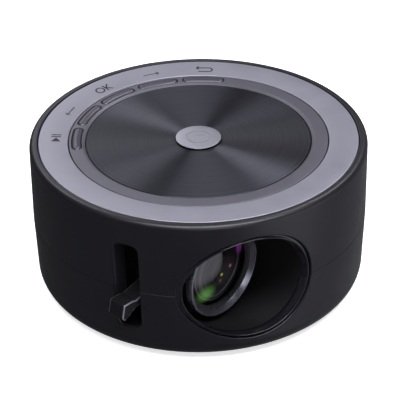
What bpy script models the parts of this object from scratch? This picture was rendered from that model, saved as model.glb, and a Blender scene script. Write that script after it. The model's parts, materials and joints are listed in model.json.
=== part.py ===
"""Round home projector.

A puck-shaped case in two halves holds a short-throw LCD light engine behind a lens in a deep round
tunnel. A lever in a side slot turns the focus ring, which slides the lens barrel. Five arc-shaped
keys sit in a ring around a turned dial plate on top. The sockets are in a recess at the back.

The origin is on the surface that the feet stand on, under the middle of the case. +Z is up and the
lens looks along -Y. Lengths are in metres.
"""

import math

import bmesh
import bpy
from mathutils import Matrix, Vector

MM = 0.001

# --- Case ------------------------------------------------------------------------------------
BODY_RADIUS = 61.0 * MM
BODY_HEIGHT = 56.6 * MM  # from the table to the top of the rim
FOOT_STAND = 0.8 * MM  # height of the base above the table
PARTING_HEIGHT = 28.0 * MM  # height of the seam between the two halves
WALL = 2.0 * MM
FLOOR = 2.0 * MM
DECK = 1.8 * MM  # thickness of the closed top under the trim
SHOULDER_ROUND = 1.9 * MM
BASE_ROUND = 7.0 * MM
BASE_TAPER = 1.1 * MM  # how much narrower the case is at its base
LAP_HEIGHT = 1.8 * MM  # height of the half-lap at the seam
LAP_THICKNESS = 0.8 * MM

# --- Clearances ------------------------------------------------------------------------------
GAP = 0.3 * MM  # between pieces that touch
RUNNING = 0.3 * MM  # between pieces that move on each other
OVERLAP = 0.5 * MM  # how deep a rib or post is sunk into what carries it
BEYOND_CASE = 1.2 * BODY_RADIUS  # reach of a cutter that comes in from outside

# --- Top trim, from the rim inwards ----------------------------------------------------------
RIM_WIDTH = 3.0 * MM
TOP_RING_WIDTH = 10.6 * MM
KEY_RING_WIDTH = 5.9 * MM
TRIM_DEPTH = 3.4 * MM  # from the rim's top down to the deck
TOP_RING_FALL = 0.45 * MM  # how far the top ring slopes down to its inner edge
KEY_RING_DROP = 0.7 * MM  # from the rim's top down to the key ring
KEY_RING_CHAMFER = 0.6 * MM
TRIM_EDGE = 0.3 * MM  # small bevel along the edges of the metal trim
DIAL_BADGE_RADIUS = 8.2 * MM
DIAL_BADGE_HEIGHT = 0.8 * MM
DIAL_BADGE_WELL = 0.5 * MM

# --- Keys ------------------------------------------------------------------------------------
KEY_COUNT = 5
KEY_PITCH = math.radians(23.1)
KEY_MIDDLE = math.radians(87.0)  # azimuth of the middle key
KEY_HALF_ANGLE = math.radians(10.1)
KEY_WIDTH = 3.2 * MM
KEY_TRAVEL = 0.4 * MM
KEY_PROUD = 0.5 * MM
KEY_BEVEL = 0.5 * MM
KEY_STEM_PLAY = 0.1 * MM  # between a stem and its switch with the key held down
KEY_STEM = (2.2 * MM, 5.0 * MM)
SWITCH_SIZE = (3.4 * MM, 5.2 * MM, 1.5 * MM)
SWITCH_BUTTON = (0.8 * MM, 0.4 * MM)  # radius and height
SWITCH_SPACE = 1.0 * MM  # from the deck down to a switch
KEY_BOARD_WIDTH = 5.6 * MM
KEY_BOARD_THICKNESS = 1.2 * MM
KEY_BOARD_PEG_RADIUS = 1.6 * MM

# --- Lens and tunnel: w is the distance along the lens axis, forwards from the origin's plane --
LENS_X = -28.5 * MM
LENS_HEIGHT = 29.2 * MM
OPENING_RADIUS = 21.0 * MM
BEZEL_WIDTH = 1.1 * MM
BEZEL_DEPTH = 3.0 * MM
BEZEL_SETBACK = 0.2 * MM
TUNNEL_WALL = 1.5 * MM
TUNNEL_BACK_W = 28.8 * MM
TUNNEL_FLANGE = 1.2 * MM
BARREL_RADIUS = 13.6 * MM
BARREL_WALL = 1.6 * MM
BARREL_BACK_W = 3.0 * MM
CUP_RADIUS = 16.4 * MM
CUP_BACK_W = 31.5 * MM
CUP_WALL = 1.6 * MM
NOSE_RADIUS = 16.8 * MM
NOSE_FRONT_W = 39.0 * MM
NOSE_DEPTH = 3.0 * MM
NOSE_OPENING_RADIUS = 12.4 * MM
NOSE_BEVEL = 1.5 * MM
FRONT_LENS_RADIUS = 14.2 * MM
FRONT_LENS_EDGE = 1.8 * MM
FRONT_LENS_BULGE = 3.4 * MM
FRONT_LENS_SEAT = 2.2 * MM  # width of the step that the front lens rests on
REAR_LENS_SPACE = 0.6 * MM  # between the rear lens and the barrel's bore
REAR_LENS_EDGE = 2.4 * MM
REAR_LENS_BULGE = 2.0 * MM
REAR_LENS_W = 7.0 * MM

# --- Focus lever -----------------------------------------------------------------------------
FOCUS_RING_RADIUS = 17.4 * MM
FOCUS_BACK_W = 16.2 * MM
LEVER_WIDTH = 7.0 * MM  # along the lens axis
LEVER_HALF_HEIGHT = 1.4 * MM
KNOB_HALF_HEIGHT = 2.9 * MM  # at the tip
KNOB_LENGTH = 7.4 * MM  # length over which the lever flares out
KNOB_SLANT = 1.5 * MM  # how much further the tip reaches at its lower edge
KNOB_PROUD = 6.4 * MM  # how far the tip stands out of the case when the lever is level
LEVER_REST = math.radians(-12.0)  # angle of the lever above the horizontal, at rest
LEVER_SPACE = 0.8 * MM  # between the lever and each side of its slot
SLOT_HALF_HEIGHT = 16.95 * MM
SLOT_ROUND = 2.5 * MM
SLOT_CUT_DEPTH = 6.0 * MM  # deep enough to pass through the slanting wall

# --- Light engine ----------------------------------------------------------------------------
ENGINE_HALF_WIDTH = 18.4 * MM
ENGINE_HALF_HEIGHT = 17.5 * MM
ENGINE_WALL = 1.6 * MM
ENGINE_BACK_W = -24.0 * MM
HOLDER_TUBE_WALL = 1.3 * MM
HOLDER_TUBE_BACK_W = 8.0 * MM
HOLDER_PLATE = 1.7 * MM
SHEET_LAYERS = (
    ("front_fresnel_lens", 1.2 * MM, 1.0 * MM),
    ("lcd_panel", -4.0 * MM, 1.4 * MM),
    ("rear_fresnel_lens", -8.0 * MM, 1.0 * MM),
    ("heat_glass", -11.5 * MM, 1.1 * MM),
)  # name, w of the front face, thickness
CONDENSER_RADIUS = 13.0 * MM
CONDENSER_W = -17.0 * MM
CONDENSER_EDGE = 1.6 * MM
CONDENSER_BULGE = 2.6 * MM
LED_BOARD_HALF = 13.0 * MM
LED_BOARD_THICKNESS = 1.6 * MM
LED_HALF = 4.5 * MM
LED_THICKNESS = 1.0 * MM
HEATSINK_HALF_WIDTH = 14.6 * MM
HEATSINK_HALF_HEIGHT = 15.0 * MM
HEATSINK_BASE = 2.4 * MM
HEATSINK_DEPTH = 10.5 * MM
FIN_THICKNESS = 1.2 * MM
FIN_COUNT = 8

# --- Fan -------------------------------------------------------------------------------------
FAN_AZIMUTH = math.radians(-20.0)
FAN_SIZE = 40.0 * MM
FAN_THICKNESS = 10.5 * MM
FAN_CENTRE_HEIGHT = 28.5 * MM
FAN_WALL_SPACE = 2.3 * MM  # from the fan's outer corner to the wall
FAN_DUCT_RADIUS = 18.9 * MM
FAN_BLADE_RADIUS = 18.0 * MM
FAN_HUB_RADIUS = 8.5 * MM
FAN_BLADES = 7
FAN_BLADE_THICKNESS = 0.9 * MM
FAN_BLADE_PITCH = math.radians(38.0)
FAN_MOTOR_PROUD = 0.4 * MM  # how far the motor's mount stands out of the spokes
FAN_SPOKE_WIDTH = 2.2 * MM
FAN_SPOKE_THICKNESS = 1.8 * MM

# --- Vents -----------------------------------------------------------------------------------
SIDE_VENT_COUNT = 7
SIDE_VENT_PITCH = math.radians(5.0)
SIDE_VENT_WIDTH = 1.7 * MM
SIDE_VENT_LOW = 9.0 * MM
SIDE_VENT_HIGH = 47.0 * MM
SIDE_VENT_BRIDGE = 2.5 * MM  # solid above and below the seam
SIDE_VENT_CUT_DEPTH = 6.0 * MM
BASE_VENT_CENTRE = (-12.0 * MM, 32.5 * MM)
BASE_VENT_COUNT = 7
BASE_VENT_PITCH = 3.6 * MM
BASE_VENT_SIZE = (18.0 * MM, 1.6 * MM)

# --- Sockets ---------------------------------------------------------------------------------
PORT_AZIMUTH = math.radians(60.0)
PORT_HALF_WIDTH = 26.0 * MM
PORT_LOW = 7.0 * MM
PORT_HIGH = 18.0 * MM
PORT_PLATE_SETBACK = 6.0 * MM  # from the case's widest point to the plate
PORT_PLATE = 1.6 * MM
PORT_TRAY_WALL = 1.2 * MM
SOCKET_SPACE = 2.2 * MM
SOCKET_PROUD = 0.5 * MM
SOCKET_BACK = 1.5 * MM  # thickness of a socket's back
SOCKET_TONGUE_SHARE = 0.72  # width of a socket's tongue as a share of the socket's
SOCKETS = (
    ("power_socket", 8.94 * MM, 3.16 * MM, 7.4 * MM, 0.3 * MM, 0.7 * MM, 1.3 * MM),
    ("usb_socket", 13.1 * MM, 5.7 * MM, 14.0 * MM, 0.35 * MM, 1.8 * MM, 0.4 * MM),
    ("hdmi_socket", 14.5 * MM, 5.6 * MM, 11.6 * MM, 0.4 * MM, 1.2 * MM, 0.8 * MM),
)  # name, width, height, depth, shell, tongue thickness, corner round
JACK_SIZE = (6.2 * MM, 5.0 * MM, 12.0 * MM)
JACK_HOLE_RADIUS = 1.8 * MM

# --- Main board and speaker ------------------------------------------------------------------
BOARD_BOTTOM = 7.4 * MM
BOARD_THICKNESS = 1.6 * MM
BOARD_HALF_WIDTH = 24.5 * MM
BOARD_LENGTH = 44.0 * MM
BOARD_POST_RADIUS = 2.2 * MM
BOARD_POST_INSET = 4.0 * MM
CHIP_PLACE = 0.6  # how far along the board the chip is, from the sockets
CHIP_HALF = 7.0 * MM
CHIP_THICKNESS = 1.6 * MM
CHIP_SINK_HEIGHT = 5.0 * MM
SPEAKER_CENTRE = (16.0 * MM, -36.0 * MM)
SPEAKER_RADIUS = 14.0 * MM
SPEAKER_HEIGHT = 5.0 * MM
SPEAKER_RIM = 1.2 * MM
SPEAKER_CONE_RADIUS = 11.5 * MM
SPEAKER_CONE_THICKNESS = 0.4 * MM
SPEAKER_CAP_RADIUS = 4.6 * MM
SPEAKER_MAGNET_RADIUS = 7.0 * MM
SPEAKER_MAGNET_HEIGHT = 3.5 * MM
SPEAKER_VENT_COUNT = 5
SPEAKER_VENT_PITCH = 3.6 * MM
SPEAKER_VENT_SIZE = (14.0 * MM, 1.4 * MM)

# --- Feet and screws -------------------------------------------------------------------------
FOOT_RADIUS = 5.0 * MM
FOOT_EDGE = 0.4 * MM
FOOT_INSET = 0.7 * MM  # depth of the foot's well in the base
FOOT_SETBACK = 14.5 * MM  # from the case's widest point to a foot's middle
FOOT_AZIMUTHS = (45.0, 135.0, 225.0, 315.0)
POST_SETBACK = 10.5 * MM  # from the case's widest point to a post's middle
POST_AZIMUTHS = (15.0, 100.0, 178.0, 275.0)
POST_RADIUS = 3.0 * MM
POST_BOTTOM = 7.5 * MM
SCREW_RADIUS = 1.0 * MM
SCREW_HEAD_RADIUS = 2.1 * MM
SCREW_HEAD_HEIGHT = 1.3 * MM
SCREW_HEAD_SINK = 1.6 * MM  # depth of the head's well, up from the base
SCREW_BITE = 6.0 * MM  # length of thread in the post
BOSS_RADIUS = 3.6 * MM

# --- Facets ----------------------------------------------------------------------------------
CASE_FACETS = 64
LENS_FACETS = 36
SMALL_FACETS = 16
ARC_STEPS = 3
SMOOTH_ANGLE = math.radians(35.0)

# --- Sizes that follow from the ones above ---------------------------------------------------
RIM_TOP = BODY_HEIGHT
DECK_TOP = RIM_TOP - TRIM_DEPTH
DECK_BOTTOM = DECK_TOP - DECK
FLOOR_TOP = FOOT_STAND + FLOOR
KEY_RING_TOP = RIM_TOP - KEY_RING_DROP
DIAL_TOP = KEY_RING_TOP - KEY_RING_CHAMFER
TOP_RING_OUT = BODY_RADIUS - RIM_WIDTH - GAP
TOP_RING_IN = TOP_RING_OUT - TOP_RING_WIDTH
KEY_RING_OUT = TOP_RING_IN - GAP
KEY_RING_IN = KEY_RING_OUT - KEY_RING_WIDTH
DIAL_RADIUS = KEY_RING_IN - GAP
KEY_CIRCLE = KEY_RING_IN + (KEY_RING_WIDTH + KEY_RING_CHAMFER / 2) / 2
SWITCH_TOP = DECK_BOTTOM - SWITCH_SPACE
SWITCH_BOTTOM = SWITCH_TOP - SWITCH_BUTTON[1] - SWITCH_SIZE[2]
KEY_BOARD_TOP = SWITCH_BOTTOM - GAP
FOOT_CIRCLE = BODY_RADIUS - FOOT_SETBACK
POST_CIRCLE = BODY_RADIUS - POST_SETBACK
BARREL_BORE = BARREL_RADIUS - BARREL_WALL
REAR_LENS_RADIUS = BARREL_BORE - REAR_LENS_SPACE
SLOT_WIDTH = LEVER_WIDTH + 2 * LEVER_SPACE
LEVER_W = FOCUS_BACK_W + LEVER_WIDTH / 2
HOLDER_FRONT_W = FOCUS_BACK_W - RUNNING
HOLDER_PLATE_BACK_W = HOLDER_FRONT_W - HOLDER_PLATE
ENGINE_FRONT_W = HOLDER_PLATE_BACK_W - GAP
SLOT_WALL_X = -math.sqrt(BODY_RADIUS**2 - LEVER_W**2)
LEVER_LENGTH = LENS_X - SLOT_WALL_X + KNOB_PROUD
PORT_PLATE_Y = BODY_RADIUS - PORT_PLATE_SETBACK
BOARD_TOP = BOARD_BOTTOM + BOARD_THICKNESS
BOARD_BACK_Y = PORT_PLATE_Y - PORT_PLATE - GAP
INNER_RADIUS = BODY_RADIUS - WALL - BASE_TAPER
PORT_CUT_Y = math.sqrt(INNER_RADIUS**2 - PORT_HALF_WIDTH**2) - MM
FAN_FRONT_Y = math.sqrt(INNER_RADIUS**2 - (FAN_SIZE / 2) ** 2) - FAN_WALL_SPACE

LENS_FRAME = Matrix.Translation((LENS_X, 0.0, LENS_HEIGHT)) @ Matrix.Rotation(math.pi / 2, 4, "X")
PORT_FRAME = Matrix.Rotation(PORT_AZIMUTH - math.pi / 2, 4, "Z")
FAN_FRAME = Matrix.Rotation(FAN_AZIMUTH - math.pi / 2, 4, "Z")


# --- Outlines --------------------------------------------------------------------------------
def arc(middle, radius, start, end, steps):
    """Points along an arc, both ends included."""
    points = []
    for step in range(steps + 1):
        angle = start + (end - start) * step / steps
        points.append((middle[0] + radius * math.cos(angle), middle[1] + radius * math.sin(angle)))
    return points


def circle(radius, facets, centre=(0.0, 0.0)):
    """Outline of a regular polygon."""
    return arc(centre, radius, 0.0, 2 * math.pi * (facets - 1) / facets, facets - 1)


def rectangle(half_x, half_y, centre=(0.0, 0.0), rounding=0.0):
    """Outline of a rectangle, with round corners where rounding is given."""
    outline = []
    for quarter, (x, y) in enumerate([(1, 1), (-1, 1), (-1, -1), (1, -1)]):
        corner = (centre[0] + x * (half_x - rounding), centre[1] + y * (half_y - rounding))
        if rounding > 0.0:
            start = quarter * math.pi / 2
            outline += arc(corner, rounding, start, start + math.pi / 2, ARC_STEPS)
        else:
            outline.append(corner)
    return outline


def arc_capsule(inner, outer, half_angle, steps):
    """Outline of a bent strip with round ends, on the side of +X, about the origin."""
    middle = (inner + outer) / 2
    end_radius = (outer - inner) / 2
    bend = half_angle - end_radius / middle
    outline = arc((0.0, 0.0), outer, -bend, bend, steps)
    for side in (1, -1):
        centre = (middle * math.cos(bend), side * middle * math.sin(bend))
        first = side * bend if side > 0 else -bend + math.pi
        outline += arc(centre, end_radius, first, first + math.pi, ARC_STEPS)[1:-1]
        if side > 0:
            outline += arc((0.0, 0.0), inner, bend, -bend, steps)
    return outline


def lens_profile(radius, edge, front_bulge, back_bulge, steps=3):
    """Half section of a lens: its edge is centred on z = 0 and its front is towards +Z."""
    profile = []
    for step in range(steps + 1):
        reach = radius * step / steps
        profile.append((reach, edge / 2 + front_bulge * (1 - (reach / radius) ** 2)))
    for step in range(steps, -1, -1):
        reach = radius * step / steps
        profile.append((reach, -edge / 2 - back_bulge * (1 - (reach / radius) ** 2)))
    return profile


# --- Closed bodies, each added to a bmesh ----------------------------------------------------
def add_prism(mesh, outline, low, high, frame=Matrix.Identity(4)):
    """Extrude an outline in XY from z = low to z = high."""
    verts = [mesh.verts.new((x, y, low)) for x, y in outline]
    extruded = bmesh.ops.extrude_face_region(mesh, geom=[mesh.faces.new(verts)])
    top = [item for item in extruded["geom"] if isinstance(item, bmesh.types.BMVert)]
    bmesh.ops.translate(mesh, verts=top, vec=(0.0, 0.0, high - low))
    bmesh.ops.transform(mesh, matrix=frame, verts=verts + top)


def add_box(mesh, low, high, frame=Matrix.Identity(4)):
    """A box between its lowest and highest corners."""
    outline = [(low[0], low[1]), (high[0], low[1]), (high[0], high[1]), (low[0], high[1])]
    add_prism(mesh, outline, low[2], high[2], frame)


def add_turned(mesh, profile, facets, frame=Matrix.Identity(4)):
    """Turn a closed half section, points of (radius, z), round the Z axis."""
    verts = [mesh.verts.new((radius, 0.0, z)) for radius, z in profile]
    pairs = zip(profile, profile[1:] + profile[:1], verts, verts[1:] + verts[:1])
    edges = [mesh.edges.new((a, b)) for start, end, a, b in pairs if start[0] > 0.0 or end[0] > 0.0]
    before = set(mesh.verts)
    bmesh.ops.spin(
        mesh, geom=verts + edges, cent=(0.0, 0.0, 0.0), axis=(0.0, 0.0, 1.0),
        angle=2 * math.pi, steps=facets, use_merge=True,
    )
    turned = verts + [vert for vert in mesh.verts if vert not in before]
    bmesh.ops.transform(mesh, matrix=frame, verts=turned)
    bmesh.ops.remove_doubles(mesh, verts=turned, dist=0.001 * MM)


# --- Objects ---------------------------------------------------------------------------------
def material(name, color, roughness, metallic=0.0, alpha=1.0):
    """A Principled material."""
    made = bpy.data.materials.new(name)
    made.use_nodes = True
    shader = made.node_tree.nodes["Principled BSDF"]
    shader.inputs["Base Color"].default_value = (*color, 1.0)
    shader.inputs["Roughness"].default_value = roughness
    shader.inputs["Metallic"].default_value = metallic
    shader.inputs["Alpha"].default_value = alpha
    return made


def add_object(name, mesh, finish, parent=None, location=(0.0, 0.0, 0.0), turn=0.0):
    """Make an object of a bmesh, with its own copy of the finish."""
    bmesh.ops.recalc_face_normals(mesh, faces=mesh.faces)
    data = bpy.data.meshes.new(name)
    mesh.to_mesh(data)
    mesh.free()
    data.shade_smooth()
    data.set_sharp_from_angle(angle=SMOOTH_ANGLE)
    if finish is not None:
        own = finish.copy()
        own.name = name
        data.materials.append(own)
    made = bpy.data.objects.new(name, data)
    bpy.context.scene.collection.objects.link(made)
    made.parent = parent
    made.location = location
    made.rotation_euler = (0.0, 0.0, turn)
    return made


def add_frame(name, frame):
    """An empty that carries the pieces of one side or axis."""
    empty = bpy.data.objects.new(name, None)
    bpy.context.scene.collection.objects.link(empty)
    empty.matrix_world = frame
    return empty


def combine(target, mesh, operation, parent=None):
    """Cut a body out of the target, or join it on, or keep only what they share."""
    operand = add_object(f"{target.name}_{operation.lower()}", mesh, None, parent)
    operand.hide_render = True
    operand.display_type = "WIRE"
    step = target.modifiers.new(operation.title(), "BOOLEAN")
    step.operation = operation
    step.solver = "EXACT"
    step.object = operand


# --- Case ------------------------------------------------------------------------------------
def azimuth_points(radius, azimuths):
    """Places on a circle, from azimuths in degrees."""
    return [
        (radius * math.cos(math.radians(azimuth)), radius * math.sin(math.radians(azimuth)))
        for azimuth in azimuths
    ]


def cut_case_openings(mesh):
    """The lens opening, the lever's slot and the side vents, which cross the seam."""
    add_prism(mesh, circle(OPENING_RADIUS, LENS_FACETS), TUNNEL_BACK_W, BEYOND_CASE, LENS_FRAME)
    slot = rectangle(SLOT_WIDTH / 2, SLOT_HALF_HEIGHT, (-LEVER_W, LENS_HEIGHT), SLOT_ROUND)
    sideways = Matrix.Rotation(math.pi / 2, 4, "Z") @ Matrix.Rotation(math.pi / 2, 4, "X")
    add_prism(mesh, slot, -BEYOND_CASE, SLOT_WALL_X + SLOT_CUT_DEPTH, sideways)


def side_vents(mesh, low, high):
    """Upright slots through the wall beside the fan."""
    for index in range(SIDE_VENT_COUNT):
        turn = FAN_AZIMUTH + (index - (SIDE_VENT_COUNT - 1) / 2) * SIDE_VENT_PITCH
        frame = Matrix.Rotation(turn, 4, "Z")
        half = SIDE_VENT_WIDTH / 2
        inner = BODY_RADIUS - SIDE_VENT_CUT_DEPTH
        add_box(mesh, (inner, -half, low), (BEYOND_CASE, half, high), frame)


def make_upper_shell():
    """The upper half: its wall, the shoulder, the rim and the closed deck."""
    wall_in = BODY_RADIUS - WALL
    rim_in = BODY_RADIUS - RIM_WIDTH
    lap_in = wall_in + LAP_THICKNESS + GAP
    seam = PARTING_HEIGHT + GAP / 2
    shoulder = (BODY_RADIUS - SHOULDER_ROUND, RIM_TOP - SHOULDER_ROUND)
    profile = [(BODY_RADIUS, seam)]
    profile += arc(shoulder, SHOULDER_ROUND, 0.0, math.pi / 2, ARC_STEPS)
    profile += [(rim_in, RIM_TOP), (rim_in, DECK_TOP), (0.0, DECK_TOP), (0.0, DECK_BOTTOM)]
    profile += [(wall_in, DECK_BOTTOM), (wall_in, seam + LAP_HEIGHT + GAP)]
    profile += [(lap_in, seam + LAP_HEIGHT + GAP), (lap_in, seam)]
    mesh = bmesh.new()
    add_turned(mesh, profile, CASE_FACETS)
    shell = add_object("upper_shell", mesh, DARK_PLASTIC)

    posts = bmesh.new()
    for place in azimuth_points(POST_CIRCLE, POST_AZIMUTHS):
        add_prism(posts, circle(POST_RADIUS, SMALL_FACETS, place), POST_BOTTOM, DECK_BOTTOM + OVERLAP)
    for place in key_board_pegs():
        peg = circle(KEY_BOARD_PEG_RADIUS, SMALL_FACETS, place)
        add_prism(posts, peg, KEY_BOARD_TOP + GAP, DECK_BOTTOM + OVERLAP)
    combine(shell, posts, "UNION")

    holes = bmesh.new()
    cut_case_openings(holes)
    side_vents(holes, PARTING_HEIGHT + SIDE_VENT_BRIDGE, SIDE_VENT_HIGH)
    for place in azimuth_points(POST_CIRCLE, POST_AZIMUTHS):
        pilot = circle(SCREW_RADIUS + GAP, SMALL_FACETS, place)
        add_prism(holes, pilot, POST_BOTTOM - MM, POST_BOTTOM + SCREW_BITE + MM)
    for turn in key_azimuths():
        stem = rectangle(KEY_STEM[0] / 2 + RUNNING, KEY_STEM[1] / 2 + RUNNING, (KEY_CIRCLE, 0.0))
        add_prism(holes, stem, DECK_BOTTOM - MM, DECK_TOP + MM, Matrix.Rotation(turn, 4, "Z"))
    combine(shell, holes, "DIFFERENCE")


def make_lower_shell():
    """The lower half: a tapered cup with a half-lap, ribs for what it carries, and holes."""
    seam = PARTING_HEIGHT - GAP / 2
    wall_in = BODY_RADIUS - WALL
    base = BODY_RADIUS - BASE_TAPER
    base_in = base - WALL
    inner_round = BASE_ROUND - WALL
    outer_corner = (base - BASE_ROUND, FOOT_STAND + BASE_ROUND)
    inner_corner = (base_in - inner_round, FLOOR_TOP + inner_round)
    profile = [(wall_in + LAP_THICKNESS, seam), (BODY_RADIUS, seam)]
    profile += arc(outer_corner, BASE_ROUND, 0.0, -math.pi / 2, ARC_STEPS + 1)
    profile += [(0.0, FOOT_STAND), (0.0, FLOOR_TOP)]
    profile += arc(inner_corner, inner_round, -math.pi / 2, 0.0, ARC_STEPS)
    profile += [(wall_in, seam - LAP_HEIGHT), (wall_in, seam + LAP_HEIGHT)]
    profile += [(wall_in + LAP_THICKNESS, seam + LAP_HEIGHT)]
    mesh = bmesh.new()
    add_turned(mesh, profile, CASE_FACETS)
    shell = add_object("lower_shell", mesh, DARK_PLASTIC)

    ribs = bmesh.new()
    rib_foot = FLOOR_TOP - OVERLAP
    engine_bottom = LENS_HEIGHT - ENGINE_HALF_HEIGHT
    for side in (-1, 1):
        rib_x = LENS_X + side * ENGINE_HALF_WIDTH / 2
        low = (rib_x - WALL / 2, -ENGINE_FRONT_W + 2 * WALL, rib_foot)
        add_box(ribs, low, (rib_x + WALL / 2, -ENGINE_BACK_W - 2 * WALL, engine_bottom - GAP))
    for x, y in board_posts():
        post = circle(BOARD_POST_RADIUS, SMALL_FACETS, (x, y))
        add_prism(ribs, post, rib_foot, BOARD_BOTTOM - GAP, PORT_FRAME)
    fan_bottom = FAN_CENTRE_HEIGHT - FAN_SIZE / 2
    low = (-FAN_SIZE / 3, FAN_FRONT_Y - FAN_THICKNESS, rib_foot)
    add_box(ribs, low, (FAN_SIZE / 3, FAN_FRONT_Y, fan_bottom - GAP), FAN_FRAME)
    for place in azimuth_points(POST_CIRCLE, POST_AZIMUTHS):
        add_prism(ribs, circle(BOSS_RADIUS, SMALL_FACETS, place), rib_foot, POST_BOTTOM - GAP)
    combine(shell, ribs, "UNION")

    holes = bmesh.new()
    cut_case_openings(holes)
    side_vents(holes, SIDE_VENT_LOW, PARTING_HEIGHT - SIDE_VENT_BRIDGE)
    below = FOOT_STAND - MM
    low = (-PORT_HALF_WIDTH, PORT_CUT_Y, PORT_LOW)
    add_box(holes, low, (PORT_HALF_WIDTH, BEYOND_CASE, PORT_HIGH), PORT_FRAME)
    for place in azimuth_points(FOOT_CIRCLE, FOOT_AZIMUTHS):
        well = circle(FOOT_RADIUS + GAP, SMALL_FACETS, place)
        add_prism(holes, well, below, FOOT_STAND + FOOT_INSET)
    combine(shell, holes, "DIFFERENCE")

    floor_holes = bmesh.new()
    head_top = FOOT_STAND + SCREW_HEAD_SINK
    for x, y in azimuth_points(POST_CIRCLE, POST_AZIMUTHS):
        profile = [(0.0, below), (SCREW_HEAD_RADIUS + GAP, below), (SCREW_HEAD_RADIUS + GAP, head_top)]
        profile += [(SCREW_RADIUS + GAP, head_top), (SCREW_RADIUS + GAP, POST_BOTTOM), (0.0, POST_BOTTOM)]
        add_turned(floor_holes, profile, SMALL_FACETS, Matrix.Translation((x, y, 0.0)))
    add_slots(floor_holes, SPEAKER_CENTRE, SPEAKER_VENT_COUNT, SPEAKER_VENT_PITCH, SPEAKER_VENT_SIZE)
    add_slots(floor_holes, BASE_VENT_CENTRE, BASE_VENT_COUNT, BASE_VENT_PITCH, BASE_VENT_SIZE)
    combine(shell, floor_holes, "DIFFERENCE")


def add_slots(mesh, centre, count, pitch, size):
    """A row of slots through the floor."""
    for index in range(count):
        place = (centre[0], centre[1] + (index - (count - 1) / 2) * pitch)
        slot = rectangle(size[0] / 2, size[1] / 2, place)
        add_prism(mesh, slot, FOOT_STAND - MM, FLOOR_TOP + MM)


def make_feet_and_screws():
    """Four rubber feet in wells, and four screws that hold the halves together."""
    for index, (x, y) in enumerate(azimuth_points(FOOT_CIRCLE, FOOT_AZIMUTHS), start=1):
        top = FOOT_STAND + FOOT_INSET - GAP
        profile = [(0.0, 0.0), (FOOT_RADIUS - FOOT_EDGE, 0.0), (FOOT_RADIUS, FOOT_EDGE)]
        profile += [(FOOT_RADIUS, top), (0.0, top)]
        mesh = bmesh.new()
        add_turned(mesh, profile, SMALL_FACETS)
        add_object(f"foot_{index}", mesh, RUBBER, location=(x, y, 0.0))
    head_top = FOOT_STAND + SCREW_HEAD_SINK - GAP
    head_bottom = head_top - SCREW_HEAD_HEIGHT
    tip = POST_BOTTOM + SCREW_BITE
    for index, (x, y) in enumerate(azimuth_points(POST_CIRCLE, POST_AZIMUTHS), start=1):
        recess = SCREW_HEAD_HEIGHT / 2
        profile = [(0.0, head_bottom + recess), (SCREW_RADIUS, head_bottom + recess)]
        profile += [(SCREW_RADIUS, head_bottom), (SCREW_HEAD_RADIUS, head_bottom)]
        profile += [(SCREW_HEAD_RADIUS, head_top), (SCREW_RADIUS, head_top)]
        profile += [(SCREW_RADIUS, tip - SCREW_RADIUS), (0.0, tip)]
        mesh = bmesh.new()
        add_turned(mesh, profile, SMALL_FACETS // 2)
        add_object(f"case_screw_{index}", mesh, STEEL, location=(x, y, 0.0))


# --- Top trim and keys -----------------------------------------------------------------------
def key_azimuths():
    """Azimuths of the keys, clockwise seen from above."""
    return [KEY_MIDDLE - (index - (KEY_COUNT - 1) / 2) * KEY_PITCH for index in range(KEY_COUNT)]


def key_board_pegs():
    """Pegs under the deck that the key board is fixed to, between the outer keys."""
    azimuths = [math.degrees(KEY_MIDDLE + side * KEY_PITCH * 1.5) for side in (-1, 1)]
    return azimuth_points(KEY_CIRCLE, azimuths)


def make_top_trim():
    """The sloping outer ring, the slotted key ring, the turned dial plate and its badge."""
    bottom = DECK_TOP + GAP
    edge = TRIM_EDGE
    outer_top = RIM_TOP - edge / 2
    inner_top = outer_top - TOP_RING_FALL
    profile = [(TOP_RING_OUT, bottom), (TOP_RING_OUT, outer_top - edge), (TOP_RING_OUT - edge, outer_top)]
    profile += [(TOP_RING_IN + edge, inner_top), (TOP_RING_IN, inner_top - edge), (TOP_RING_IN, bottom)]
    mesh = bmesh.new()
    add_turned(mesh, profile, CASE_FACETS)
    add_object("top_ring", mesh, PALE_METAL)

    profile = [(KEY_RING_OUT, bottom), (KEY_RING_OUT, KEY_RING_TOP)]
    profile += [(KEY_RING_IN + KEY_RING_CHAMFER, KEY_RING_TOP), (KEY_RING_IN, DIAL_TOP)]
    profile += [(KEY_RING_IN, bottom)]
    mesh = bmesh.new()
    add_turned(mesh, profile, CASE_FACETS)
    ring = add_object("key_ring", mesh, GREY_PLASTIC)
    slots = bmesh.new()
    half = KEY_WIDTH / 2 + RUNNING
    half_angle = KEY_HALF_ANGLE + RUNNING / KEY_CIRCLE
    for turn in key_azimuths():
        outline = arc_capsule(KEY_CIRCLE - half, KEY_CIRCLE + half, half_angle, ARC_STEPS + 1)
        add_prism(slots, outline, DECK_TOP, RIM_TOP + MM, Matrix.Rotation(turn, 4, "Z"))
    combine(ring, slots, "DIFFERENCE")

    well_radius = DIAL_BADGE_RADIUS + GAP
    well_floor = DIAL_TOP - DIAL_BADGE_WELL
    profile = [(DIAL_RADIUS, bottom), (DIAL_RADIUS, DIAL_TOP), (well_radius, DIAL_TOP)]
    profile += [(well_radius, well_floor), (0.0, well_floor), (0.0, bottom)]
    mesh = bmesh.new()
    add_turned(mesh, profile, CASE_FACETS)
    add_object("dial_plate", mesh, TURNED_METAL)

    top = DIAL_TOP + DIAL_BADGE_HEIGHT
    profile = [(DIAL_BADGE_RADIUS, well_floor + GAP), (DIAL_BADGE_RADIUS, top - edge)]
    profile += [(DIAL_BADGE_RADIUS - edge, top), (0.0, top), (0.0, well_floor + GAP)]
    mesh = bmesh.new()
    add_turned(mesh, profile, LENS_FACETS)
    add_object("centre_badge", mesh, PALE_METAL)


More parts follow.
